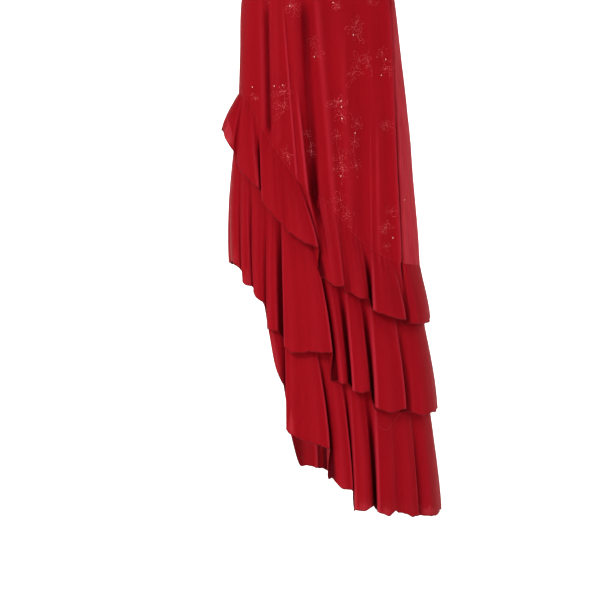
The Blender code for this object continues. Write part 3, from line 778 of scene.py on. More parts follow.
def back_folds(tier):
    """The folds of a back flounce, in uneven widths and depths, shallow where the flounce is short."""
    draw = random.Random(tier["seed"])
    _, along = unrolled()
    widths = [1 + draw.uniform(-BACK_FOLD_UNEVEN, BACK_FOLD_UNEVEN) for _ in range(tier["folds"])]
    edges = np.concatenate([[0], np.cumsum(widths)]) / sum(widths)
    edges = BACK_SIDE_MARGIN + edges * (along[-1] - 2 * BACK_SIDE_MARGIN)
    folds = []
    for left, right in zip(edges[:-1] + BACK_VALLEY_WIDTH / 2, edges[1:] - BACK_VALLEY_WIDTH / 2):
        places = (left, (left + right) / 2, right)
        drops = [hem_drop(tier, plan_x(tier, place)) for place in places]
        height = drops[1] - float(seam_drop(tier["name"], plan_x(tier, places[1])))
        stand = draw.uniform(*BACK_FOLD_STAND) * float(ease(height / FULL_FOLD_HEIGHT))
        lean = draw.choice((-BACK_LEAN, 0.0, BACK_LEAN))
        fold = {"along": (left, right), "drops": drops, "stand": stand, "top": None}
        fold["edges"] = (BACK_EDGE_OUT - lean, BACK_EDGE_OUT + lean)
        fold["valley"] = min(draw.uniform(*BACK_VALLEY_OUT), DEEPEST_VALLEY * stand)
        folds.append(fold)
    return folds


def front_folds(tier):
    """The folds of a front flounce, read from its table."""
    folds = []
    for fold in named(FLOUNCE_FOLDS[tier["name"]], FLOUNCE_FOLD_COLUMNS):
        fold["edges"] = (fold["left_out"], fold["right_out"])
        fold["drops"] = (fold["drop_left"], fold["drop_mid"], fold["drop_right"])
        outs = [tier["clearance"] + fold["stand"] * share for share in fold["edges"]]
        fold["along"] = (
            along_at(fold["left"], fold["drop_left"], outs[0], "front"),
            along_at(fold["right"], fold["drop_right"], outs[1], "front"),
        )
        folds.append(fold)
    for fold, after in zip(folds, folds[1:]):
        short = max(0.0, VALLEY_WIDTH - (after["along"][0] - fold["along"][1]))
        fold["along"] = (fold["along"][0], fold["along"][1] - short / 2)
        after["along"] = (after["along"][0] + short / 2, after["along"][1])
    return folds


def hem_points(folds, tier):
    """The points that a hem runs through, as how far along, how far out and drop, and where folds start."""
    _, along = unrolled()
    points, starts = [], []
    for fold, after in zip(folds, folds[1:] + [None]):
        left, right = fold["along"]
        stand, (low, high) = fold["stand"], fold["edges"]
        first, mid, last = fold["drops"]
        starts.append(len(points) + 1)
        for share, out, drop in (
            (0.0, low, first),
            (SHOULDER, low + (1 - low) * SHOULDER_RISE, first + (mid - first) * 2 * SHOULDER),
            (0.5, 1.0, mid),
            (1 - SHOULDER, high + (1 - high) * SHOULDER_RISE, last + (mid - last) * 2 * SHOULDER),
            (1.0, high, last),
        ):
            points.append((left + (right - left) * share, tier["clearance"] + stand * out, drop))
        if after:
            step = high * stand - after["edges"][0] * after["stand"]
            under = TUCK * min(1.0, max(-1.0, step / TUCK_STEP))
            place = (right + after["along"][0]) / 2 - under
            drop = max(last, after["drops"][0]) - VALLEY_LIFT * max(0.0, high * stand - fold["valley"])
            flank = fold["valley"] + (high * stand - fold["valley"]) * FLANK_OUT
            points.append(((place + right) / 2, tier["clearance"] + flank, (drop + last) / 2))
            points.append((place, tier["clearance"] + fold["valley"], drop))
    points.insert(0, (0.0, tier["left_out"], tier["left_drop"]))
    points.append((along[-1], tier["right_out"], tier["right_drop"]))
    return np.array(points, dtype=float), starts


def round_curve(points, spans):
    """A round curve through the points, each span cut into a number of steps, and where the spans start."""
    chord = np.linalg.norm(np.diff(points[:, :2], axis=0), axis=1)[:, None]
    way = np.diff(points, axis=0) / chord
    tangent = np.empty_like(points)
    tangent[1:-1] = (way[:-1] * chord[1:] + way[1:] * chord[:-1]) / (chord[1:] + chord[:-1])
    tangent[0], tangent[-1] = way[0], way[-1]
    curve, starts = [], []
    for i, steps in enumerate(spans):
        starts.append(len(curve))
        for k in range(steps):
            t = k / steps
            curve.append(
                (2 * t**3 - 3 * t**2 + 1) * points[i]
                + (t**3 - 2 * t**2 + t) * chord[i] * tangent[i]
                + (3 * t**2 - 2 * t**3) * points[i + 1]
                + (t**3 - t**2) * chord[i] * tangent[i + 1]
            )
    curve.append(points[-1])
    return np.array(curve), starts


@functools.lru_cache(maxsize=None)
def flounce_cloth(name, side):
    """A flounce's middle surface, hung from its seam on the panel, with outward directions."""
    tier = next(tier for tier in named(TIERS, TIER_COLUMNS) if tier["name"] == name)
    folds = front_folds(tier) if side == "front" else back_folds(tier)
    points, starts = hem_points(folds, tier)
    across = (FOLD_STEPS + VALLEY_STEPS) * (len(folds) - 1) + FOLD_STEPS
    hem, marks = round_curve(points, (SIDE_STEPS, *across, SIDE_STEPS))
    length = lengths_along(hem[:, :2])
    ends = ease(length / WAVES_BESIDE) * ease((length[-1] - length) / WAVES_BESIDE)
    hem[:, 2] += waves(length, 0.0, HEM_WAVES, tier["seed"]) * ends
    angles, along = unrolled()
    at, seam_along = [0.0], [0.0]
    for start, fold in zip(starts[1:], folds[1:]):
        if fold["top"] is not None:
            at.append(length[marks[start]])
            seam_along.append(along_at(fold["top"], seam_drop(name, fold["top"]), 0.0, side))
    top_along = smooth(at + [length[-1]], seam_along + [along[-1]], length)
    ring, _ = seam_ring(side, name)
    ring_angle = np.linspace(math.pi, 0.0, len(ring))
    ring_along = np.interp(-ring_angle, -angles, along)
    at_column = np.interp(top_along, ring_along, np.arange(len(ring)))
    top = sampled(ring, at_column)
    top_angle = sampled(ring_angle[:, None], at_column)[:, 0]
    hem_angle = np.interp(hem[:, 0], along, angles)
    top_drop = -top[:, 2]
    on_form = form_point(top_angle, top_drop, 0.0, side)
    v = np.linspace(0, 1, FLOUNCE_DOWN + 1)[:, None]
    fallen = 1 - (1 - v) ** FALL
    below = (hem[:, 2] - top_drop) * v
    drop = top_drop + below
    pucker = waves(top_along, 0.0, SEAM_PUCKERS, tier["seed"] + 1)
    pucker = pucker * np.exp(-below / FLOUNCE_PUCKER_FADE) * ease(below / FLOUNCE_PUCKER_START)
    ripple = waves(length, below, FLOUNCE_WAVES, tier["seed"] + 2) * ease(v / WAVES_FULL)
    out = hem[:, 1] * fallen + (pucker + ripple) * ends
    grid = form_point(top_angle + (hem_angle - top_angle) * fallen, drop, out, side)
    grid = grid + (top - on_form) * (1 - fallen)[..., None]
    close_at_sides(grid)
    return grid, grid_normals(grid, side)


def sheer_at(name, grid):
    """How much paler and more see-through each point of a piece is, where one layer shows or hangs free. The
    paler colour is painted light.
    """
    x, drop = grid[..., 0], -grid[..., 2]
    sheer = np.zeros_like(x)
    for spot in named(SHEER_SPOTS.get(name, ()), SHEER_COLUMNS):
        down = (drop - spot["drop"]) / spot["half_height"]
        wide = spot["half_width"] * np.clip(1 + down, *SPOT_WIDENS) / SPOT_DIVISOR
        away = np.hypot((x - spot["x"]) / wide, down)
        sheer = np.maximum(sheer, spot["strength"] * ease((SPOT_EDGE - away) / SPOT_SOFT))
    if name in SHEER_OVER:
        edge = SHEER_BACK_X
        if name == "front":
            creases_here = named(CREASES[name], CREASE_COLUMNS)
            edge = next(crease_middle(crease, drop) for crease in creases_here if crease["name"] == SHEER_LINE)
        strip = ease((x - edge - 1) / SHEER_OVER[name]) * ease((drop - SHEER_FROM) / SHEER_DOWN)
        sheer = np.maximum(sheer, SHEER_STRENGTH * strip)
    return sheer


def crest(grid, normal):
    """How sharply the cloth bends at each point, above 0 on a ridge and below 0 in a trough. It sets how pale a
    sheen is painted on the ridges.
    """
    left, right = np.roll(grid, CREST_REACH, axis=1), np.roll(grid, -CREST_REACH, axis=1)
    bend = np.einsum("ijk,ijk->ij", grid - (left + right) / 2, normal)
    wide = np.maximum(np.linalg.norm(right - left, axis=2), 1.0)
    sharp = np.clip(CREST_SHARP * bend / wide, -1, 1)
    sharp[:, :CREST_REACH] = 0
    sharp[:, -CREST_REACH:] = 0
    return sharp


def hollow(grid, side, facing):
    """How deep each point lies between higher cloth on both its sides, 0 in the open and 1 in a slit. The deeper,
    the darker the shade painted there.

    Facing is 1 for the outer face and -1 for the inner one.
    """
    columns = np.arange(grid.shape[1])
    centre, half_width, depth = form_at(OVAL_DROP, side)
    angle = np.arccos(np.clip((grid[..., 0] - centre) / half_width, -1, 1))
    out_x, out_y = way_out(angle, half_width, depth)
    out_y = -out_y if side == "front" else out_y
    walls = []
    for way in (-1, 1):
        steepest = np.zeros(grid.shape[:2])
        for step in range(1, HOLLOW_REACH + 1):
            beside = grid[:, np.clip(columns + way * step, 0, columns[-1])] - grid
            rise = facing * (beside[..., 0] * out_x + beside[..., 1] * out_y)
            away = np.hypot(beside[..., 0], beside[..., 1])
            steepest = np.maximum(steepest, rise / np.maximum(away, HOLLOW_LEAST))
        walls.append(steepest)
    return np.sqrt(walls[0] * walls[1])


def plain_mesh(name, points, faces, uv=None):
    """A smooth mesh from points in millimetres, with a UV map if each point has a place on the cloth."""
    mesh = bpy.data.meshes.new(name)
    mesh.from_pydata([tuple(p) for p in points * MM], [], faces)
    if uv is not None:
        corner = np.empty(len(mesh.loops), dtype=np.int32)
        mesh.loops.foreach_get("vertex_index", corner)
        mesh.uv_layers.new(name="cloth").data.foreach_set("uv", uv[corner].astype(np.float32).ravel())
    mesh.shade_smooth()
    mesh.set_sharp_from_angle(angle=SHARP_ANGLE)
    return mesh


def signed_volume(points, faces):
    """The volume inside quads, below zero where they face inwards."""
    a, b, c, d = (points[faces[:, k]] for k in range(4))
    halves = np.einsum("ij,ij->i", a, np.cross(b, c)) + np.einsum("ij,ij->i", a, np.cross(c, d))
    return float(halves.sum())


def shell_faces(rows, columns):
    """Quads of an outer layer, an inner layer and the rim between them."""
    count = rows * columns
    row, col = np.mgrid[0:rows - 1, 0:columns - 1]
    a = (row * columns + col).ravel()
    quads = np.stack([a, a + 1, a + columns + 1, a + columns], axis=1)
    rim = [(0, c) for c in range(columns)] + [(r, columns - 1) for r in range(1, rows)]
    rim += [(rows - 1, c) for c in range(columns - 2, -1, -1)] + [(r, 0) for r in range(rows - 2, 0, -1)]
    rim = np.array([r * columns + c for r, c in rim])
    after = np.roll(rim, -1)
    edge = np.stack([after, rim, rim + count, after + count], axis=1)
    return np.concatenate([quads, quads[:, ::-1] + count, edge])


def cloth_mesh(name, grid, normal):
    """A thin closed shell round a grid, with the places on the cloth as its UV map in metres."""
    rows, columns = grid.shape[:2]
    half = normal * bpy.context.scene.dress_cloth.thickness / MM / 2
    points = np.concatenate([(grid + half).reshape(-1, 3), (grid - half).reshape(-1, 3)])
    across = np.linalg.norm(np.diff(grid, axis=1), axis=2)
    down = np.linalg.norm(np.diff(grid, axis=0), axis=2)
    u = np.concatenate([[0], np.cumsum(across.mean(axis=0))])
    v = np.concatenate([np.zeros((1, columns)), np.cumsum(down, axis=0)])
    place = np.stack([np.broadcast_to(u, v.shape), v], axis=-1).reshape(-1, 2) * MM
    faces = shell_faces(rows, columns)
    if signed_volume(points, faces) < 0:
        faces = faces[:, ::-1]
    mesh = plain_mesh(name, points, faces.tolist(), np.concatenate([place, place]))
    side = "back" if name.endswith("back") else "front"
    sheer, fold = sheer_at(name, grid), crest(grid, normal)
    outer_and_inner = {
        "sheer": (sheer, sheer),
        "fold": (fold, -fold),
        "hollow": (hollow(grid, side, 1.0), hollow(grid, side, -1.0)),
    }
    for label, values in outer_and_inner.items():
        layer = mesh.attributes.new(label, "FLOAT", "POINT")
        layer.data.foreach_set("value", np.stack(values).astype(np.float32).ravel())
    return mesh


def swept_mesh(name, path, wide_way, thick_way, wide, thick, square=1.0, sides=8):
    """A closed strip with an oval section swept along a path. Square below 1 makes the section boxier."""
    turn = np.linspace(0, 2 * math.pi, sides, endpoint=False)
    across = np.sign(np.sin(turn)) * np.abs(np.sin(turn)) ** square * wide / 2
    deep = np.sign(np.cos(turn)) * np.abs(np.cos(turn)) ** square * thick / 2
    ring = wide_way[:, None] * across[None, :, None] + thick_way[:, None] * deep[None, :, None]
    points = (path[:, None] + ring).reshape(-1, 3)
    start, k = np.mgrid[0:len(path) - 1, 0:sides]
    a, b = (start * sides + k).ravel(), (start * sides + (k + 1) % sides).ravel()
    faces = np.stack([a, b, b + sides, a + sides], axis=1)
    ends = [list(range(sides))[::-1], [(len(path) - 1) * sides + at for at in range(sides)]]
    if signed_volume(points, faces) < 0:
        faces = faces[:, ::-1]
        ends = [end[::-1] for end in ends]
    return plain_mesh(name, points, faces.tolist() + ends)


def add_piece(name, mesh, material, nodes=()):
    """A finished piece that moves with the dress and stands for the named solids."""
    if not len(mesh.polygons):
        raise RuntimeError(f"{name} has no faces")
    mesh.materials.clear()
    mesh.materials.append(material)
    piece = bpy.data.objects.new(name, mesh)
    bpy.context.scene.collection.objects.link(piece)
    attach(piece, BODY)
    if nodes:
        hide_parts(*nodes)
    return piece


def add(tree, kind, inputs=None, **settings):
    """Adds a node with its settings, its inputs filled with values or linked to other nodes' outputs."""
    new = tree.nodes.new(kind)
    for key, value in settings.items():
        setattr(new, key, value)
    for key, value in (inputs or {}).items():
        if isinstance(value, bpy.types.NodeSocket):
            tree.links.new(value, new.inputs[key])
        else:
            new.inputs[key].default_value = value
    return new


def finish(name, build):
    """The material of that name, built when it is first asked for."""
    material = bpy.data.materials.get(name)
    if material is None:
        material = bpy.data.materials.new(name)
        material.use_nodes = True
        material.node_tree.nodes.clear()
        shader = build(material.node_tree)
        add(material.node_tree, "ShaderNodeOutputMaterial", {"Surface": shader})
    return material


def crepe_chiffon(tree):
    """Sheer crepe chiffon: matt deep red. A single layer lets light through, and its paler colour is painted
    light; sharp ridges get a painted sheen and the cloth deep between folds a painted shade.
    """
    cloth = bpy.context.scene.dress_cloth
    place = add(tree, "ShaderNodeTexCoord")
    # Patches of slightly uneven dye, about 140 mm apart
    patches = add(tree, "ShaderNodeTexNoise", {"Vector": place.outputs["Object"], "Scale": 7.0, "Detail": 3.0})
    # Slubs in the weave, about 1.4 mm across and 60 mm long
    long_way = add(tree, "ShaderNodeMapping", {"Vector": place.outputs["UV"], "Scale": (700.0, 16.0, 1.0)})
    slubs = add(tree, "ShaderNodeTexNoise", {"Vector": long_way.outputs[0], "Scale": 1.0, "Detail": 2.0})
    both = {0: patches.outputs["Fac"], 1: slubs.outputs["Fac"]}
    uneven = add(tree, "ShaderNodeMath", both, operation="MULTIPLY")
    tone = add(tree, "ShaderNodeMapRange", {"Value": uneven.outputs[0], "From Min": 0.1, "From Max": 0.45})
    body = add(tree, "ShaderNodeMix", {0: tone.outputs[0], 6: cloth.deep, 7: cloth.colour}, data_type="RGBA")
    # Painted sheen: sharp ridges are painted paler, in the ridge colour
    fold = add(tree, "ShaderNodeAttribute", attribute_name="fold")
    ridge = add(tree, "ShaderNodeMapRange", {"Value": fold.outputs["Fac"], "From Max": 1.0, "To Max": 0.6})
    painted_light_colour = {0: ridge.outputs[0], 6: body.outputs[2], 7: cloth.ridge}
    painted_light_colour = add(tree, "ShaderNodeMix", painted_light_colour, data_type="RGBA")
    # Painted shade: the deeper a point lies between folds, the nearer its colour is painted to the dark trough
    # colour
    painted_shade_attribute = add(tree, "ShaderNodeAttribute", attribute_name="hollow")
    painted_shade_amount = {"Value": painted_shade_attribute.outputs["Fac"], "From Min": 0.35, "From Max": 0.7, "To Max": 0.95}
    painted_shade_amount = add(tree, "ShaderNodeMapRange", painted_shade_amount)
    painted_light_colour = {0: painted_shade_amount.outputs[0], 6: painted_light_colour.outputs[2], 7: cloth.trough}
    painted_light_colour = add(tree, "ShaderNodeMix", painted_light_colour, data_type="RGBA")
    # The single layer: more see-through, and painted paler for the light coming through it, with faint streaks
    # about 5 mm apart down it
    sheer = add(tree, "ShaderNodeAttribute", attribute_name="sheer")
    streak_way = add(tree, "ShaderNodeMapping", {"Vector": place.outputs["Object"], "Scale": (210.0, 210.0, 5.0)})
    streaks = add(tree, "ShaderNodeTexNoise", {"Vector": streak_way.outputs[0], "Scale": 1.0, "Detail": 1.0})
    streaked = {"Value": streaks.outputs["Fac"], "From Min": 0.3, "From Max": 0.6, "To Min": 0.45}
    streaked = add(tree, "ShaderNodeMapRange", streaked)
    both = {0: sheer.outputs["Fac"], 1: streaked.outputs[0]}
    pale = add(tree, "ShaderNodeMath", both, operation="MULTIPLY")
    colour = {0: pale.outputs[0], 6: painted_light_colour.outputs[2], 7: cloth.sheer}
    colour = add(tree, "ShaderNodeMix", colour, data_type="RGBA")
    opacity = {"Value": pale.outputs[0], "To Min": cloth.opacity, "To Max": cloth.sheer_opacity}
    opacity = add(tree, "ShaderNodeMapRange", opacity)
    # Crepe grain, drawn 1 mm coarse so that it shows
    grain_way = add(tree, "ShaderNodeMapping", {"Vector": place.outputs["UV"], "Scale": (1000.0, 1000.0, 1.0)})
    grain = add(tree, "ShaderNodeTexNoise", {"Vector": grain_way.outputs[0], "Scale": 1.0, "Detail": 2.0})
    bump = add(tree, "ShaderNodeBump", {"Height": grain.outputs["Fac"], "Strength": 0.2, "Distance": 0.0003})
    layer = add(
        tree, "ShaderNodeBsdfPrincipled",
        {
            "Base Color": colour.outputs[2],
            "Roughness": 0.62,
            "Specular IOR Level": 0.02,
            "Sheen Weight": 0.01,
            "Sheen Roughness": 0.35,
            "Sheen Tint": linear("#FF9090"),
            "Alpha": opacity.outputs[0],
            "Normal": bump.outputs["Normal"],
        },
    )
    glow = {"Color": colour.outputs[2], "Normal": bump.outputs["Normal"]}
    glow = add(tree, "ShaderNodeBsdfTranslucent", glow)
    return add(tree, "ShaderNodeMixShader", {0: 0.08, 1: layer.outputs[0], 2: glow.outputs[0]}).outputs[0]


def rolled_chiffon(tree):
    """Chiffon rolled over itself at a hem, or folded in a binding or strap: four layers, dark and not sheer."""
    cloth = bpy.context.scene.dress_cloth
    place = add(tree, "ShaderNodeTexCoord")
    # Creases of the roll, about 2 mm apart, as bumps with a shade painted darker in their low parts
    twist = add(tree, "ShaderNodeTexNoise", {"Vector": place.outputs["Object"], "Scale": 450.0, "Detail": 2.0})
    tone = add(tree, "ShaderNodeMapRange", {"Value": twist.outputs["Fac"], "From Min": 0.3, "From Max": 0.7})
    colour = {0: tone.outputs[0], 6: cloth.hem_crease_shade, 7: cloth.hem}
    colour = add(tree, "ShaderNodeMix", colour, data_type="RGBA")
    bump = add(tree, "ShaderNodeBump", {"Height": twist.outputs["Fac"], "Strength": 0.4, "Distance": 0.0004})
    shader = add(
        tree, "ShaderNodeBsdfPrincipled",
        {
            "Base Color": colour.outputs[2],
            "Roughness": 0.7,
            "Specular IOR Level": 0.05,
            "Sheen Weight": 0.02,
            "Sheen Tint": linear("#FF9090"),
            "Normal": bump.outputs["Normal"],
        },
    )
    return shader.outputs[0]


def polyester_thread(tree):
    """Twisted polyester sewing thread: a shade lighter than the cloth, with a slight gloss."""
    place = add(tree, "ShaderNodeTexCoord")
    # The thread's twist, drawn 0.6 mm coarse so that it shows
    ply = add(tree, "ShaderNodeTexNoise", {"Vector": place.outputs["Object"], "Scale": 1600.0})
    bump = add(tree, "ShaderNodeBump", {"Height": ply.outputs["Fac"], "Strength": 0.3, "Distance": 0.0001})
    shader = add(
        tree, "ShaderNodeBsdfPrincipled",
        {
            "Base Color": bpy.context.scene.dress_sewing.thread,
            "Roughness": 0.45,
            "Specular IOR Level": 0.3,
            "Normal": bump.outputs["Normal"],
        },
    )
    return shader.outputs[0]


def glitter_foil(tree):
    """Coated polyester foil flakes: they glint pink where they face the light and fade into the red."""
    glitter = bpy.context.scene.dress_glitter
    place = add(tree, "ShaderNodeTexCoord")
    # A shade of its own for each few flakes, about 4 mm apart
    mottle = add(tree, "ShaderNodeTexNoise", {"Vector": place.outputs["Object"], "Scale": 240.0})
    tone = add(tree, "ShaderNodeMapRange", {"Value": mottle.outputs["Fac"], "From Min": 0.35, "From Max": 0.65})
    colour = {0: tone.outputs[0], 6: glitter.deep, 7: glitter.colour}
    colour = add(tree, "ShaderNodeMix", colour, data_type="RGBA")
    values = {"Base Color": colour.outputs[2], "Metallic": 0.8, "Roughness": 0.38}
    return add(tree, "ShaderNodeBsdfPrincipled", values).outputs[0]


def sequin_film(tree):
    """Lacquered polyester sequins: nearly white where they catch the light."""
    colour = bpy.context.scene.dress_glitter.sequin
    values = {"Base Color": colour, "Metallic": 0.9, "Roughness": 0.2, "Coat Weight": 0.6}
    return add(tree, "ShaderNodeBsdfPrincipled", values).outputs[0]


def studio_paper(tree):
    """Matt white studio paper with a barely visible tooth."""
    place = add(tree, "ShaderNodeTexCoord")
    # The paper's tooth, drawn 3 mm coarse so that it shows
    tooth = add(tree, "ShaderNodeTexNoise", {"Vector": place.outputs["Object"], "Scale": 300.0})
    bump = add(tree, "ShaderNodeBump", {"Height": tooth.outputs["Fac"], "Strength": 0.05, "Distance": 0.0005})
    stage = bpy.context.scene.dress_stage
    values = {
        "Base Color": stage.paper,
        "Roughness": 0.9,
        "Specular IOR Level": 0.1,
        "Emission Color": stage.paper,
        "Emission Strength": stage.glow,
        "Normal": bump.outputs["Normal"],
    }
    return add(tree, "ShaderNodeBsdfPrincipled", values).outputs[0]


def node_tree(name, numbers):
    """A geometry node tree with named inputs, and the outputs of its group input."""
    tree = bpy.data.node_groups.new(name, "GeometryNodeTree")
    tree.interface.new_socket("Guides", in_out="INPUT", socket_type="NodeSocketGeometry")
    for label in numbers:
        tree.interface.new_socket(label, in_out="INPUT", socket_type="NodeSocketFloat")
    tree.interface.new_socket("Material", in_out="INPUT", socket_type="NodeSocketMaterial")
    tree.interface.new_socket("Result", in_out="OUTPUT", socket_type="NodeSocketGeometry")
    return tree, tree.nodes.new("NodeGroupInput").outputs


def way_out_of_cloth(tree):
    """The guides' stored outward direction."""
    stored = add(tree, "GeometryNodeInputNamedAttribute", {"Name": "out"}, data_type="FLOAT_VECTOR")
    return next(socket for socket in stored.outputs if socket.enabled and socket.name == "Attribute")


def tilted_on_cloth(tree, tilt, seed):
    """Turns that lay a flat shape on the cloth, spun at random and tilted a little."""
    facing = add(tree, "FunctionNodeAlignRotationToVector", {"Vector": way_out_of_cloth(tree)}, axis="Z")
    values = {0: (-tilt, -tilt, 0.0), 1: (tilt, tilt, math.pi), "Seed": seed}
    spin = add(tree, "FunctionNodeRandomValue", values, data_type="FLOAT_VECTOR")
    turn = add(tree, "FunctionNodeEulerToRotation", {0: spin.outputs[0]})
    both = {"Rotation": facing.outputs[0], "Rotate By": turn.outputs[0]}
    return add(tree, "FunctionNodeRotateRotation", both, rotation_space="LOCAL").outputs[0]


def spaced_points(tree, given):
    """Points along the guide lines at the given pitch."""
    lines = add(tree, "GeometryNodeMeshToCurve", {"Mesh": given["Guides"]})
    values = {"Curve": lines.outputs[0], "Length": given["Pitch"]}
    return add(tree, "GeometryNodeResampleCurve", values, mode="LENGTH").outputs[0]


def end_tree(tree, given, instances):
    """Turns a tree's instances into plain faces with the material."""
    plain = add(tree, "GeometryNodeRealizeInstances", {0: instances})
    done = add(tree, "GeometryNodeSetMaterial", {"Geometry": plain.outputs[0], "Material": given["Material"]})
    add(tree, "NodeGroupOutput", {"Result": done.outputs[0]})
    return tree


@functools.lru_cache(maxsize=None)
def stitch_tree():
    """Stitches in a row along guide lines."""
    tree, given = node_tree("stitch_rows", ("Pitch", "Stitch length", "Thread radius"))
    along = add(tree, "GeometryNodeInputTangent")
    both = {"Primary Axis": along.outputs[0], "Secondary Axis": way_out_of_cloth(tree)}
    turned = add(tree, "FunctionNodeAxesToRotation", both, primary_axis="Z", secondary_axis="X")
    values = {"Vertices": 6, "Radius": given["Thread radius"], "Depth": given["Stitch length"]}
    stitch = add(tree, "GeometryNodeMeshCylinder", values)
    values = {
        "Points": spaced_points(tree, given),
        "Instance": stitch.outputs["Mesh"],
        "Rotation": turned.outputs[0],
    }
    return end_tree(tree, given, add(tree, "GeometryNodeInstanceOnPoints", values).outputs[0])


@functools.lru_cache(maxsize=None)
def flake_tree():
    """Foil hexagons strewn along guide lines, with gaps, in uneven sizes and tilts."""
    tree, given = node_tree("glitter_lines", ("Pitch", "Flake radius", "Share kept"))
    values = {"Probability": given["Share kept"], "Seed": 4}
    kept = add(tree, "FunctionNodeRandomValue", values, data_type="BOOLEAN")
    size = add(tree, "FunctionNodeRandomValue", {2: 0.6, 3: 1.35, "Seed": 2}, data_type="FLOAT")
    values = {"Vertices": 6, "Radius": given["Flake radius"]}
    flake = add(tree, "GeometryNodeMeshCircle", values, fill_type="NGON")
    values = {
        "Points": spaced_points(tree, given),
        "Selection": kept.outputs[3],
        "Instance": flake.outputs[0],
        "Rotation": tilted_on_cloth(tree, tilt=0.45, seed=7),
        "Scale": size.outputs[1],
    }
    return end_tree(tree, given, add(tree, "GeometryNodeInstanceOnPoints", values).outputs[0])


@functools.lru_cache(maxsize=None)
def sequin_tree():
    """Small round sequins on guide points, each tilted a little."""
    tree, given = node_tree("sequins", ("Sequin radius", "Sequin depth"))
    values = {"Vertices": 12, "Radius": given["Sequin radius"], "Depth": given["Sequin depth"]}
    disc = add(tree, "GeometryNodeMeshCylinder", values)
    values = {
        "Points": given["Guides"],
        "Instance": disc.outputs["Mesh"],
        "Rotation": tilted_on_cloth(tree, tilt=0.3, seed=3),
    }
    return end_tree(tree, given, add(tree, "GeometryNodeInstanceOnPoints", values).outputs[0])


def guide_mesh(name, lines):
    """Lines of points in millimetres as edges, each point with its outward direction."""
    edges, start = [], 0
    for line, _ in lines:
        edges += [(start + k, start + k + 1) for k in range(len(line) - 1)]
        start += len(line)
    mesh = bpy.data.meshes.new(name)
    mesh.from_pydata([tuple(p) for line, _ in lines for p in line * MM], edges, [])
    outs = unit(np.concatenate([out for _, out in lines]))
    layer = mesh.attributes.new("out", "FLOAT_VECTOR", "POINT")
    layer.data.foreach_set("vector", outs.astype(np.float32).ravel())
    return mesh


def grown_mesh(name, guides, tree, values):
    """The plain mesh that a node tree makes from guide lines."""
    source = bpy.data.objects.new(name + "_guides", guides)
    bpy.context.scene.collection.objects.link(source)
    modifier = source.modifiers.new(name, "NODES")
    modifier.node_group = tree
    for socket in tree.interface.items_tree:
        if socket.in_out == "INPUT" and socket.name in values:
            modifier[socket.identifier] = values[socket.name]
    done = source.evaluated_get(bpy.context.evaluated_depsgraph_get())
    mesh = bpy.data.meshes.new_from_object(done)
    source.modifiers.remove(modifier)
    bpy.data.objects.remove(source)
    mesh.name = name
    return mesh


def on_panel(x, drop, side, lift):
    """Points on a panel's outer face at places x and drop, and the outward directions there."""
    x, drop = np.asarray(x, dtype=float), np.asarray(drop, dtype=float)
    angle = angle_at(x, drop, 0.0, side)
    point = panel_point(angle, drop, side)
    across = panel_point(angle - NEAR_ANGLE, drop, side) - panel_point(angle + NEAR_ANGLE, drop, side)
    down = panel_point(angle, drop + NEAR_DROP, side) - panel_point(angle, drop - NEAR_DROP, side)
    out = unit(np.cross(across, down)) * (-1.0 if side == "front" else 1.0)
    return point + out * lift, out


def petal(foot, turn, length, width):
    """The outline of a petal or a leaf, from its foot and back to it."""
    t = np.linspace(0, 2 * math.pi, PETAL_POINTS)
    along = length * (1 - np.cos(t)) / 2
    across = width / 2 * np.sin(t) * (0.55 + 0.45 * along / length)
    cos, sin = math.cos(turn), math.sin(turn)
    return np.stack([foot[0] + along * cos - across * sin, foot[1] + along * sin + across * cos], axis=1)


def flower(centre, size, turn, draw):
    """A five-petalled flower in outline, with uneven petals."""
    lines = []
    for k in range(5):
        way = turn + k * 2 * math.pi / 5 + draw.uniform(-0.25, 0.25)
        long = size * draw.uniform(0.7, 1.2)
        lines.append(petal(centre, way, long, long * draw.uniform(0.45, 0.7)))
    return lines


def sprig(width, height, flowers, draw):
    """A stem with leaves and flowers, as lines round the origin, x to the right and y down."""
    t = np.linspace(-0.5, 0.5, STEM_POINTS)
    last = STEM_POINTS - 2
    sway, phase = draw.uniform(0.12, 0.28) * width, draw.uniform(0, NEARLY_ROUND)
    stem = np.stack([sway * np.sin(t * 5 + phase), t * height], axis=1)
    lines = [stem]
    for k in range(flowers):
        at = sampled(stem, np.array([(k + 0.25 + draw.uniform(0, 0.4)) / flowers * last]))[0]
        at = at + np.array([draw.uniform(-0.16, 0.16) * width, 0])
        lines += flower(at, draw.uniform(0.4, 0.6) * width, draw.uniform(0, NEARLY_ROUND), draw)
    for _ in range(2 + flowers):
        at = sampled(stem, np.array([draw.uniform(1, last)]))[0]
        way = draw.choice((0.5, 2.6)) + draw.uniform(-0.6, 0.6)
        long = draw.uniform(0.4, 0.7) * width
        lines.append(petal(at, way, long, long * draw.uniform(0.3, 0.5)))
    return lines


def size_setting(name, description, metres):
    """A length that a user may change."""
    return bpy.props.FloatProperty(
        name=name, description=description, default=metres, unit="LENGTH", precision=5)


def share_setting(name, description, share):
    """A share from 0 to 1 that a user may change."""
    return bpy.props.FloatProperty(name=name, description=description, default=share, subtype="FACTOR")


def colour_setting(name, description, hex_colour):
    """A colour that a user may change."""
    return bpy.props.FloatVectorProperty(
        name=name, description=description, default=linear(hex_colour), size=4, subtype="COLOR")


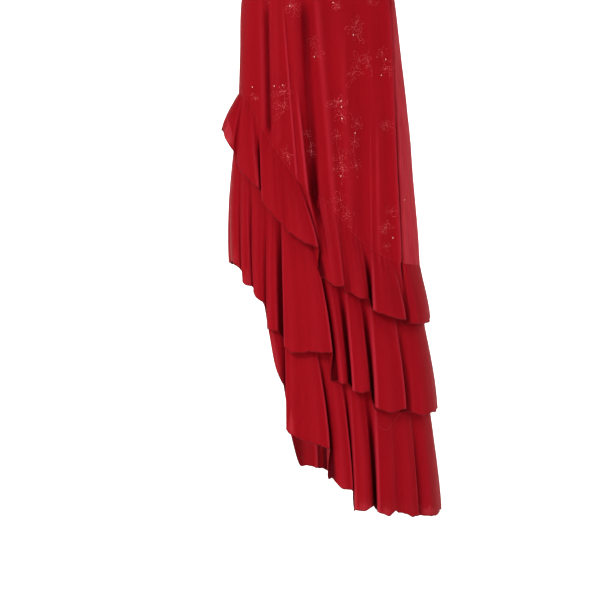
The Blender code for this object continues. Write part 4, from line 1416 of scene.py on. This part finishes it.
class DressCloth(bpy.types.PropertyGroup):
    """Sizes and colours of the cloth and its rolled edges."""

    thickness: size_setting("Thickness", "Thickness of the chiffon", 0.0006)
    opacity: share_setting("Opacity", "How much one face covers", 0.96)
    sheer_opacity: share_setting("Sheer opacity", "The same in single layers", 0.88)
    colour: colour_setting("Colour", "The chiffon", "#8A0914")
    deep: colour_setting("Deep colour", "Darker patches", "#800812")
    # Painted sheen on sharp ridges
    ridge: colour_setting("Ridge colour", "Sharp ridges", "#A92433")
    # Painted shade deep between folds
    trough: colour_setting("Trough colour", "Deep in folds", "#400005")
    # Painted light: the paler red of a single layer stands in for light coming through it
    sheer: colour_setting("Sheer colour", "Single layers", "#AC2C36")
    hem: colour_setting("Hem colour", "Rolled edges", "#72060F")
    # Painted shade in the creases of the rolled edges
    hem_crease_shade: colour_setting("Deep hem colour", "Their creases", "#54030A")
    hem_height: size_setting("Hem height", "Height of a rolled hem", 0.0022)
    hem_depth: size_setting("Hem depth", "Depth of a rolled hem", 0.0014)
    binding_height: size_setting("Binding height", "Height of the neck binding", 0.0034)


class DressSewing(bpy.types.PropertyGroup):
    """Sizes and colour of the sewing."""

    pitch: size_setting("Stitch pitch", "From stitch to stitch", 0.0030)
    length: size_setting("Stitch length", "Length of a stitch", 0.0021)
    radius: size_setting("Thread radius", "Half the thread's width", 0.00014)
    thread: colour_setting("Thread colour", "The thread", "#880D17")


class DressGlitter(bpy.types.PropertyGroup):
    """Sizes and colours of the glitter sprays."""

    pitch: size_setting("Flake pitch", "From flake to flake", 0.0010)
    radius: size_setting("Flake radius", "Half a flake's width", 0.00030)
    kept: share_setting("Share kept", "Share of the flakes not worn off", 0.7)
    sequin_radius: size_setting("Sequin radius", "Half a sequin's width", 0.0008)
    sequin_depth: size_setting("Sequin depth", "Thickness of a sequin", 0.0003)
    colour: colour_setting("Flake colour", "Flakes that glint", "#E0686E")
    deep: colour_setting("Deep flake colour", "Dull flakes", "#A8242F")
    sequin: colour_setting("Sequin colour", "The sequins", "#FFE8E2")


class DressStage(bpy.types.PropertyGroup):
    """The studio round the dress."""

    paper: colour_setting("Paper", "Floor and wall", "#FAFAFA")
    glow: bpy.props.FloatProperty(name="Glow", description="Light that comes through the paper", default=0.42)
    sky: bpy.props.FloatProperty(name="Sky", description="Strength of the light all round", default=0.48)
    key: bpy.props.FloatProperty(name="Key", description="Power of the main light", default=222.0, unit="POWER")
    wall: bpy.props.FloatProperty(name="Wall", description="Power of the wall light", default=260.0, unit="POWER")


def turned_to(place, aim):
    """The turn of a lamp or a camera that points from one place at another."""
    return (Vector(aim) - Vector(place)).to_track_quat("-Z", "Y").to_euler()


def add_light(name, place, aim, size, power):
    """A square soft light that shines from one place to another and isn't seen itself."""
    light = bpy.data.lights.new(name, "AREA")
    light.size = size
    light.energy = power
    lamp = bpy.data.objects.new(name, light)
    lamp.location = place
    lamp.rotation_euler = turned_to(place, aim)
    lamp.visible_camera = False
    bpy.context.scene.collection.objects.link(lamp)


def floor_mesh():
    """A round floor that curves up into a wall all round."""
    radius, height = np.array(FLOOR_RINGS).T
    height = height - FLOOR_DROP
    turn = np.linspace(0, 2 * math.pi, FLOOR_SIDES, endpoint=False)
    x, y = radius[:, None] * np.cos(turn), radius[:, None] * np.sin(turn)
    rings = np.stack([x, y, height[:, None] + 0 * turn], axis=-1)
    points = np.concatenate([[[0, 0, height[0]]], rings.reshape(-1, 3)])
    count = len(turn)
    faces = [(0, 1 + k, 1 + (k + 1) % count) for k in range(count)]
    for i in range(len(radius) - 1):
        for k in range(count):
            a, b = 1 + i * count + k, 1 + i * count + (k + 1) % count
            faces.append((a, a + count, b + count, b))
    mesh = bpy.data.meshes.new("studio_floor")
    mesh.from_pydata([tuple(p) for p in points], [], faces)
    mesh.shade_smooth()
    return mesh


class DRESS_OT_stage(bpy.types.Operator):
    """Make the floor and wall, the lights and the camera"""

    bl_idname = "dress.stage"
    bl_label = "Stage"

    def execute(self, context):
        scene, stage = context.scene, context.scene.dress_stage
        scene.view_settings.view_transform = "Standard"
        floor = bpy.data.objects.new("studio_floor", floor_mesh())
        floor.data.materials.append(finish("matt_studio_paper", studio_paper))
        scene.collection.objects.link(floor)
        world = bpy.data.worlds.new("studio")
        world.use_nodes = True
        sky = world.node_tree.nodes["Background"].inputs
        sky["Color"].default_value = (1, 1, 1, 1)
        sky["Strength"].default_value = stage.sky
        scene.world = world
        for name, (place, aim, size) in LIGHTS.items():
            add_light(name, place, aim, size, getattr(stage, name))
        camera = bpy.data.cameras.new("camera")
        camera.lens = CAMERA_LENS
        camera.clip_end = CAMERA_REACH
        view = bpy.data.objects.new("camera", camera)
        view.location = CAMERA_EYE
        view.rotation_euler = turned_to(CAMERA_EYE, CAMERA_AIM)
        scene.collection.objects.link(view)
        scene.camera = view
        return {"FINISHED"}


class DRESS_OT_panels(bpy.types.Operator):
    """Make the front and the back with their bound upper edges"""

    bl_idname = "dress.panels"
    bl_label = "Panels"

    def execute(self, context):
        cloth = context.scene.dress_cloth
        chiffon, rolled = finish("crepe_chiffon", crepe_chiffon), finish("rolled_chiffon", rolled_chiffon)
        for side in ("front", "back"):
            grid, normal = panel_cloth(side)
            piece = add_piece(side + "_cloth", cloth_mesh(side, grid, normal), chiffon, [side])
            down = unit(grid[1] - grid[0])
            tall, deep = cloth.binding_height / MM, cloth.hem_depth / MM
            path = grid[0] + down * BINDING_BELOW
            mesh = swept_mesh(side + "_binding", path, down, normal[0], tall, deep)
            binding = add_piece(side + "_binding", mesh, rolled)
        return {"FINISHED"}


class DRESS_OT_flounces(bpy.types.Operator):
    """Make the flounces with their rolled hems"""

    bl_idname = "dress.flounces"
    bl_label = "Flounces"

    def execute(self, context):
        cloth = context.scene.dress_cloth
        chiffon, rolled = finish("crepe_chiffon", crepe_chiffon), finish("rolled_chiffon", rolled_chiffon)
        for row in TIERS:
            for side in ("front", "back"):
                name = f"flounce_{row[0]}_{side}"
                grid, normal = flounce_cloth(row[0], side)
                piece = add_piece(name + "_cloth", cloth_mesh(name, grid, normal), chiffon, [name])
                down = unit(grid[-1] - grid[-2])
                tall, deep = cloth.hem_height / MM, cloth.hem_depth / MM
                path = grid[-1] + down * HEM_BELOW
                mesh = swept_mesh(name + "_hem", path, down, normal[-1], tall, deep)
                hem = add_piece(name + "_hem", mesh, rolled)
        return {"FINISHED"}


@functools.lru_cache(maxsize=None)
def strap_path(sign):
    """A strap's middle line with the ways across it and out of it."""
    ends = []
    for side in ("front", "back"):
        grid, normal = panel_cloth(side)
        middle = sign * (STRAP_INNER + STRAP_OUTER) / 2
        at = np.array([np.interp(middle, grid[0, :, 0], np.arange(grid.shape[1]))])
        line = np.array([sampled(row, at)[0] for row in grid[:STRAP_ROWS]])
        out = unit(np.array([sampled(row, at)[0] for row in normal[:STRAP_ROWS]]))
        reach = lengths_along(line)
        foot = []
        for below in (STRAP_OVERLAP, STRAP_OVERLAP / 2, 0.0):
            row = np.array([np.interp(below, reach, np.arange(len(reach)))])
            foot.append(sampled(line, row)[0] - sampled(out, row)[0] * STRAP_BEHIND)
        ends.append(foot)
    way = [(sign * x, y, -drop) for x, y, drop in STRAP_WAY]
    path = even_curve(np.array(ends[0] + way + ends[1][::-1], dtype=float), STRAP_STEPS)
    along = unit(np.gradient(path, axis=0))
    across = unit(np.array([1.0, 0.0, 0.0]) - along * along[:, :1])
    out = np.cross(across, along)
    return path, across, out if out[len(out) // 2][2] > 0 else -out


class DRESS_OT_straps(bpy.types.Operator):
    """Make the two shoulder straps"""

    bl_idname = "dress.straps"
    bl_label = "Straps"

    def execute(self, context):
        rolled = finish("rolled_chiffon", rolled_chiffon)
        for name, sign in (("strap_left", 1), ("strap_right", -1)):
            path, across, out = strap_path(sign)
            wide = STRAP_OUTER - STRAP_INNER
            mesh = swept_mesh(name + "_band", path, across, out, wide, STRAP_THICK, square=0.45, sides=20)
            piece = add_piece(name + "_band", mesh, rolled, [name])
        return {"FINISHED"}


def stitch_lines():
    """Guide lines for every row of stitches."""
    lines = []
    for row in TIERS:
        for side in ("front", "back"):
            grid, normal = flounce_cloth(row[0], side)
            up = unit(grid[-2] - grid[-1])
            lines.append((grid[-1] + up * HEM_STITCH[0] + normal[-1] * HEM_STITCH[1], normal[-1]))
    for side in ("front", "back"):
        grid, normal = panel_cloth(side)
        down = unit(grid[1] - grid[0])
        lines.append((grid[0] + down * BINDING_STITCH[0] + normal[0] * BINDING_STITCH[1], normal[0]))
        ring, out = seam_ring(side, "top")
        lines.append((ring + np.array([0, 0, SEAM_STITCH[0]]) + out * SEAM_STITCH[1], out))
        x_from, drop_from, x_to, drop_to = DARTS[side]
        share = np.linspace(*DART_STITCHED, DART_STEPS)
        for sign in (-1, 1):
            x, drop = sign * (x_from + (x_to - x_from) * share), drop_from + (drop_to - drop_from) * share
            lines.append(on_panel(x, drop, side, DART_STITCH_OUT))
            x = np.linspace(STRAP_INNER + FOOT_MARGIN, STRAP_OUTER - FOOT_MARGIN, FOOT_STEPS) * sign
            edge = -np.interp(x, grid[0, :, 0], grid[0, :, 2])
            for below in FOOT_ROWS:
                lines.append(on_panel(x, edge + below, side, FOOT_STITCH_OUT))
    for sign in (-1, 1):
        path, across, out = (part[STRAP_BARE_STEPS:-STRAP_BARE_STEPS] for part in strap_path(sign))
        for edge in STRAP_STITCH:
            lines.append((path + across * edge + out * (STRAP_THICK / 2), out))
    return lines


def thread_on_flounce(places):
    """Points on the front of the lower flounce, a thread's width out."""
    grid, normal = flounce_cloth("lower", "front")
    points = (grid + normal * THREAD_WIDTH) * MM
    rows, columns = grid.shape[:2]
    faces = shell_faces(rows, columns)[:(rows - 1) * (columns - 1)]
    tree = BVHTree.FromPolygons([Vector(p) for p in points.reshape(-1, 3)], faces.tolist())
    found = []
    for x, drop in places:
        hit = tree.ray_cast(Vector((x * MM, -1.0, -drop * MM)), Vector((0, 1, 0)))[0]
        if hit is None:
            raise RuntimeError("the pulled thread misses the lower flounce")
        found.append(np.array(hit) / MM)
    return np.array(found)


class DRESS_OT_sewing(bpy.types.Operator):
    """Make the rows of stitches and the pulled thread"""

    bl_idname = "dress.sewing"
    bl_label = "Sewing"

    def execute(self, context):
        sewing = context.scene.dress_sewing
        thread = finish("polyester_thread", polyester_thread)
        values = {
            "Pitch": sewing.pitch,
            "Stitch length": sewing.length,
            "Thread radius": sewing.radius,
            "Material": thread,
        }
        mesh = grown_mesh("stitches", guide_mesh("stitch_guides", stitch_lines()), stitch_tree(), values)
        add_piece("stitches", mesh, thread)
        path = even_curve(thread_on_flounce(PULLED_THREAD), THREAD_STEPS)
        along = unit(np.gradient(path, axis=0))
        side = unit(np.cross(along, np.array([0.0, 1.0, 0.0])))
        out = np.cross(side, along)
        mesh = swept_mesh("pulled_thread", path, side, out, THREAD_WIDTH, THREAD_WIDTH)
        add_piece("pulled_thread", mesh, thread)
        return {"FINISHED"}


def spray_lines(side):
    """The glitter sprays' lines on a panel, left out where they would run over the first seam."""
    draw = random.Random(SPRAY_SEEDS[side])
    lines = []
    for spray in named(SPRAYS[side], SPRAY_COLUMNS):
        for line in sprig(spray["width"] * SPRAY_WIDER, spray["height"], spray["flowers"], draw):
            x, drop = spray["x"] + line[:, 0], spray["drop"] + line[:, 1]
            if (drop < seam_drop("top", x) - SPRAY_ABOVE_SEAM).all():
                lines.append(on_panel(x, drop, side, FLAKE_LIFT))
    return lines


class DRESS_OT_glitter(bpy.types.Operator):
    """Strew the glitter sprays over the front and the back"""

    bl_idname = "dress.glitter"
    bl_label = "Glitter sprays"

    def execute(self, context):
        glitter = context.scene.dress_glitter
        foil, film = finish("glitter_foil", glitter_foil), finish("sequin_film", sequin_film)
        flakes = {
            "Pitch": glitter.pitch,
            "Flake radius": glitter.radius,
            "Share kept": glitter.kept,
            "Material": foil,
        }
        discs = {
            "Sequin radius": glitter.sequin_radius,
            "Sequin depth": glitter.sequin_depth,
            "Material": film,
        }
        for side in ("front", "back"):
            name = side + "_glitter"
            mesh = grown_mesh(name, guide_mesh(name + "_guides", spray_lines(side)), flake_tree(), flakes)
            add_piece(name, mesh, foil)
            name = side + "_sequins"
            x, drop = np.array(SEQUINS[side], dtype=float).T
            places = guide_mesh(name + "_guides", [on_panel(x, drop, side, SEQUIN_LIFT)])
            add_piece(name, grown_mesh(name, places, sequin_tree(), discs), film)
        return {"FINISHED"}


class DRESS_PT_main(bpy.types.Panel):
    """Lists what makes the dress, and its sizes and colours."""

    bl_idname = "DRESS_PT_main"
    bl_label = "Chiffon maxi dress"
    bl_space_type = "VIEW_3D"
    bl_region_type = "UI"
    bl_category = "Dress"

    def draw(self, context):
        for kind in OPERATORS:
            self.layout.operator(kind.bl_idname)
        for name in GROUPS:
            box = self.layout.box()
            group = getattr(context.scene, name)
            for label in group.bl_rna.properties.keys():
                if label not in ("rna_type", "name"):
                    box.prop(group, label)


GROUPS = {
    "dress_cloth": DressCloth,
    "dress_sewing": DressSewing,
    "dress_glitter": DressGlitter,
    "dress_stage": DressStage,
}
OPERATORS = (
    DRESS_OT_stage,
    DRESS_OT_panels,
    DRESS_OT_flounces,
    DRESS_OT_straps,
    DRESS_OT_sewing,
    DRESS_OT_glitter,
)


def register():
    """Adds the properties, the operators and the panel."""
    for name, group in GROUPS.items():
        bpy.utils.register_class(group)
        setattr(bpy.types.Scene, name, bpy.props.PointerProperty(type=group))
    for kind in OPERATORS + (DRESS_PT_main,):
        bpy.utils.register_class(kind)


def unregister():
    """Takes them away again."""
    for kind in OPERATORS + (DRESS_PT_main,):
        bpy.utils.unregister_class(kind)
    for name, group in GROUPS.items():
        delattr(bpy.types.Scene, name)
        bpy.utils.unregister_class(group)


def main():
    """Makes the whole dress and its stage."""
    register()
    bpy.ops.dress.stage()
    bpy.ops.dress.panels()
    bpy.ops.dress.flounces()
    bpy.ops.dress.straps()
    bpy.ops.dress.sewing()
    bpy.ops.dress.glitter()


if __name__ == "__main__":
    main()
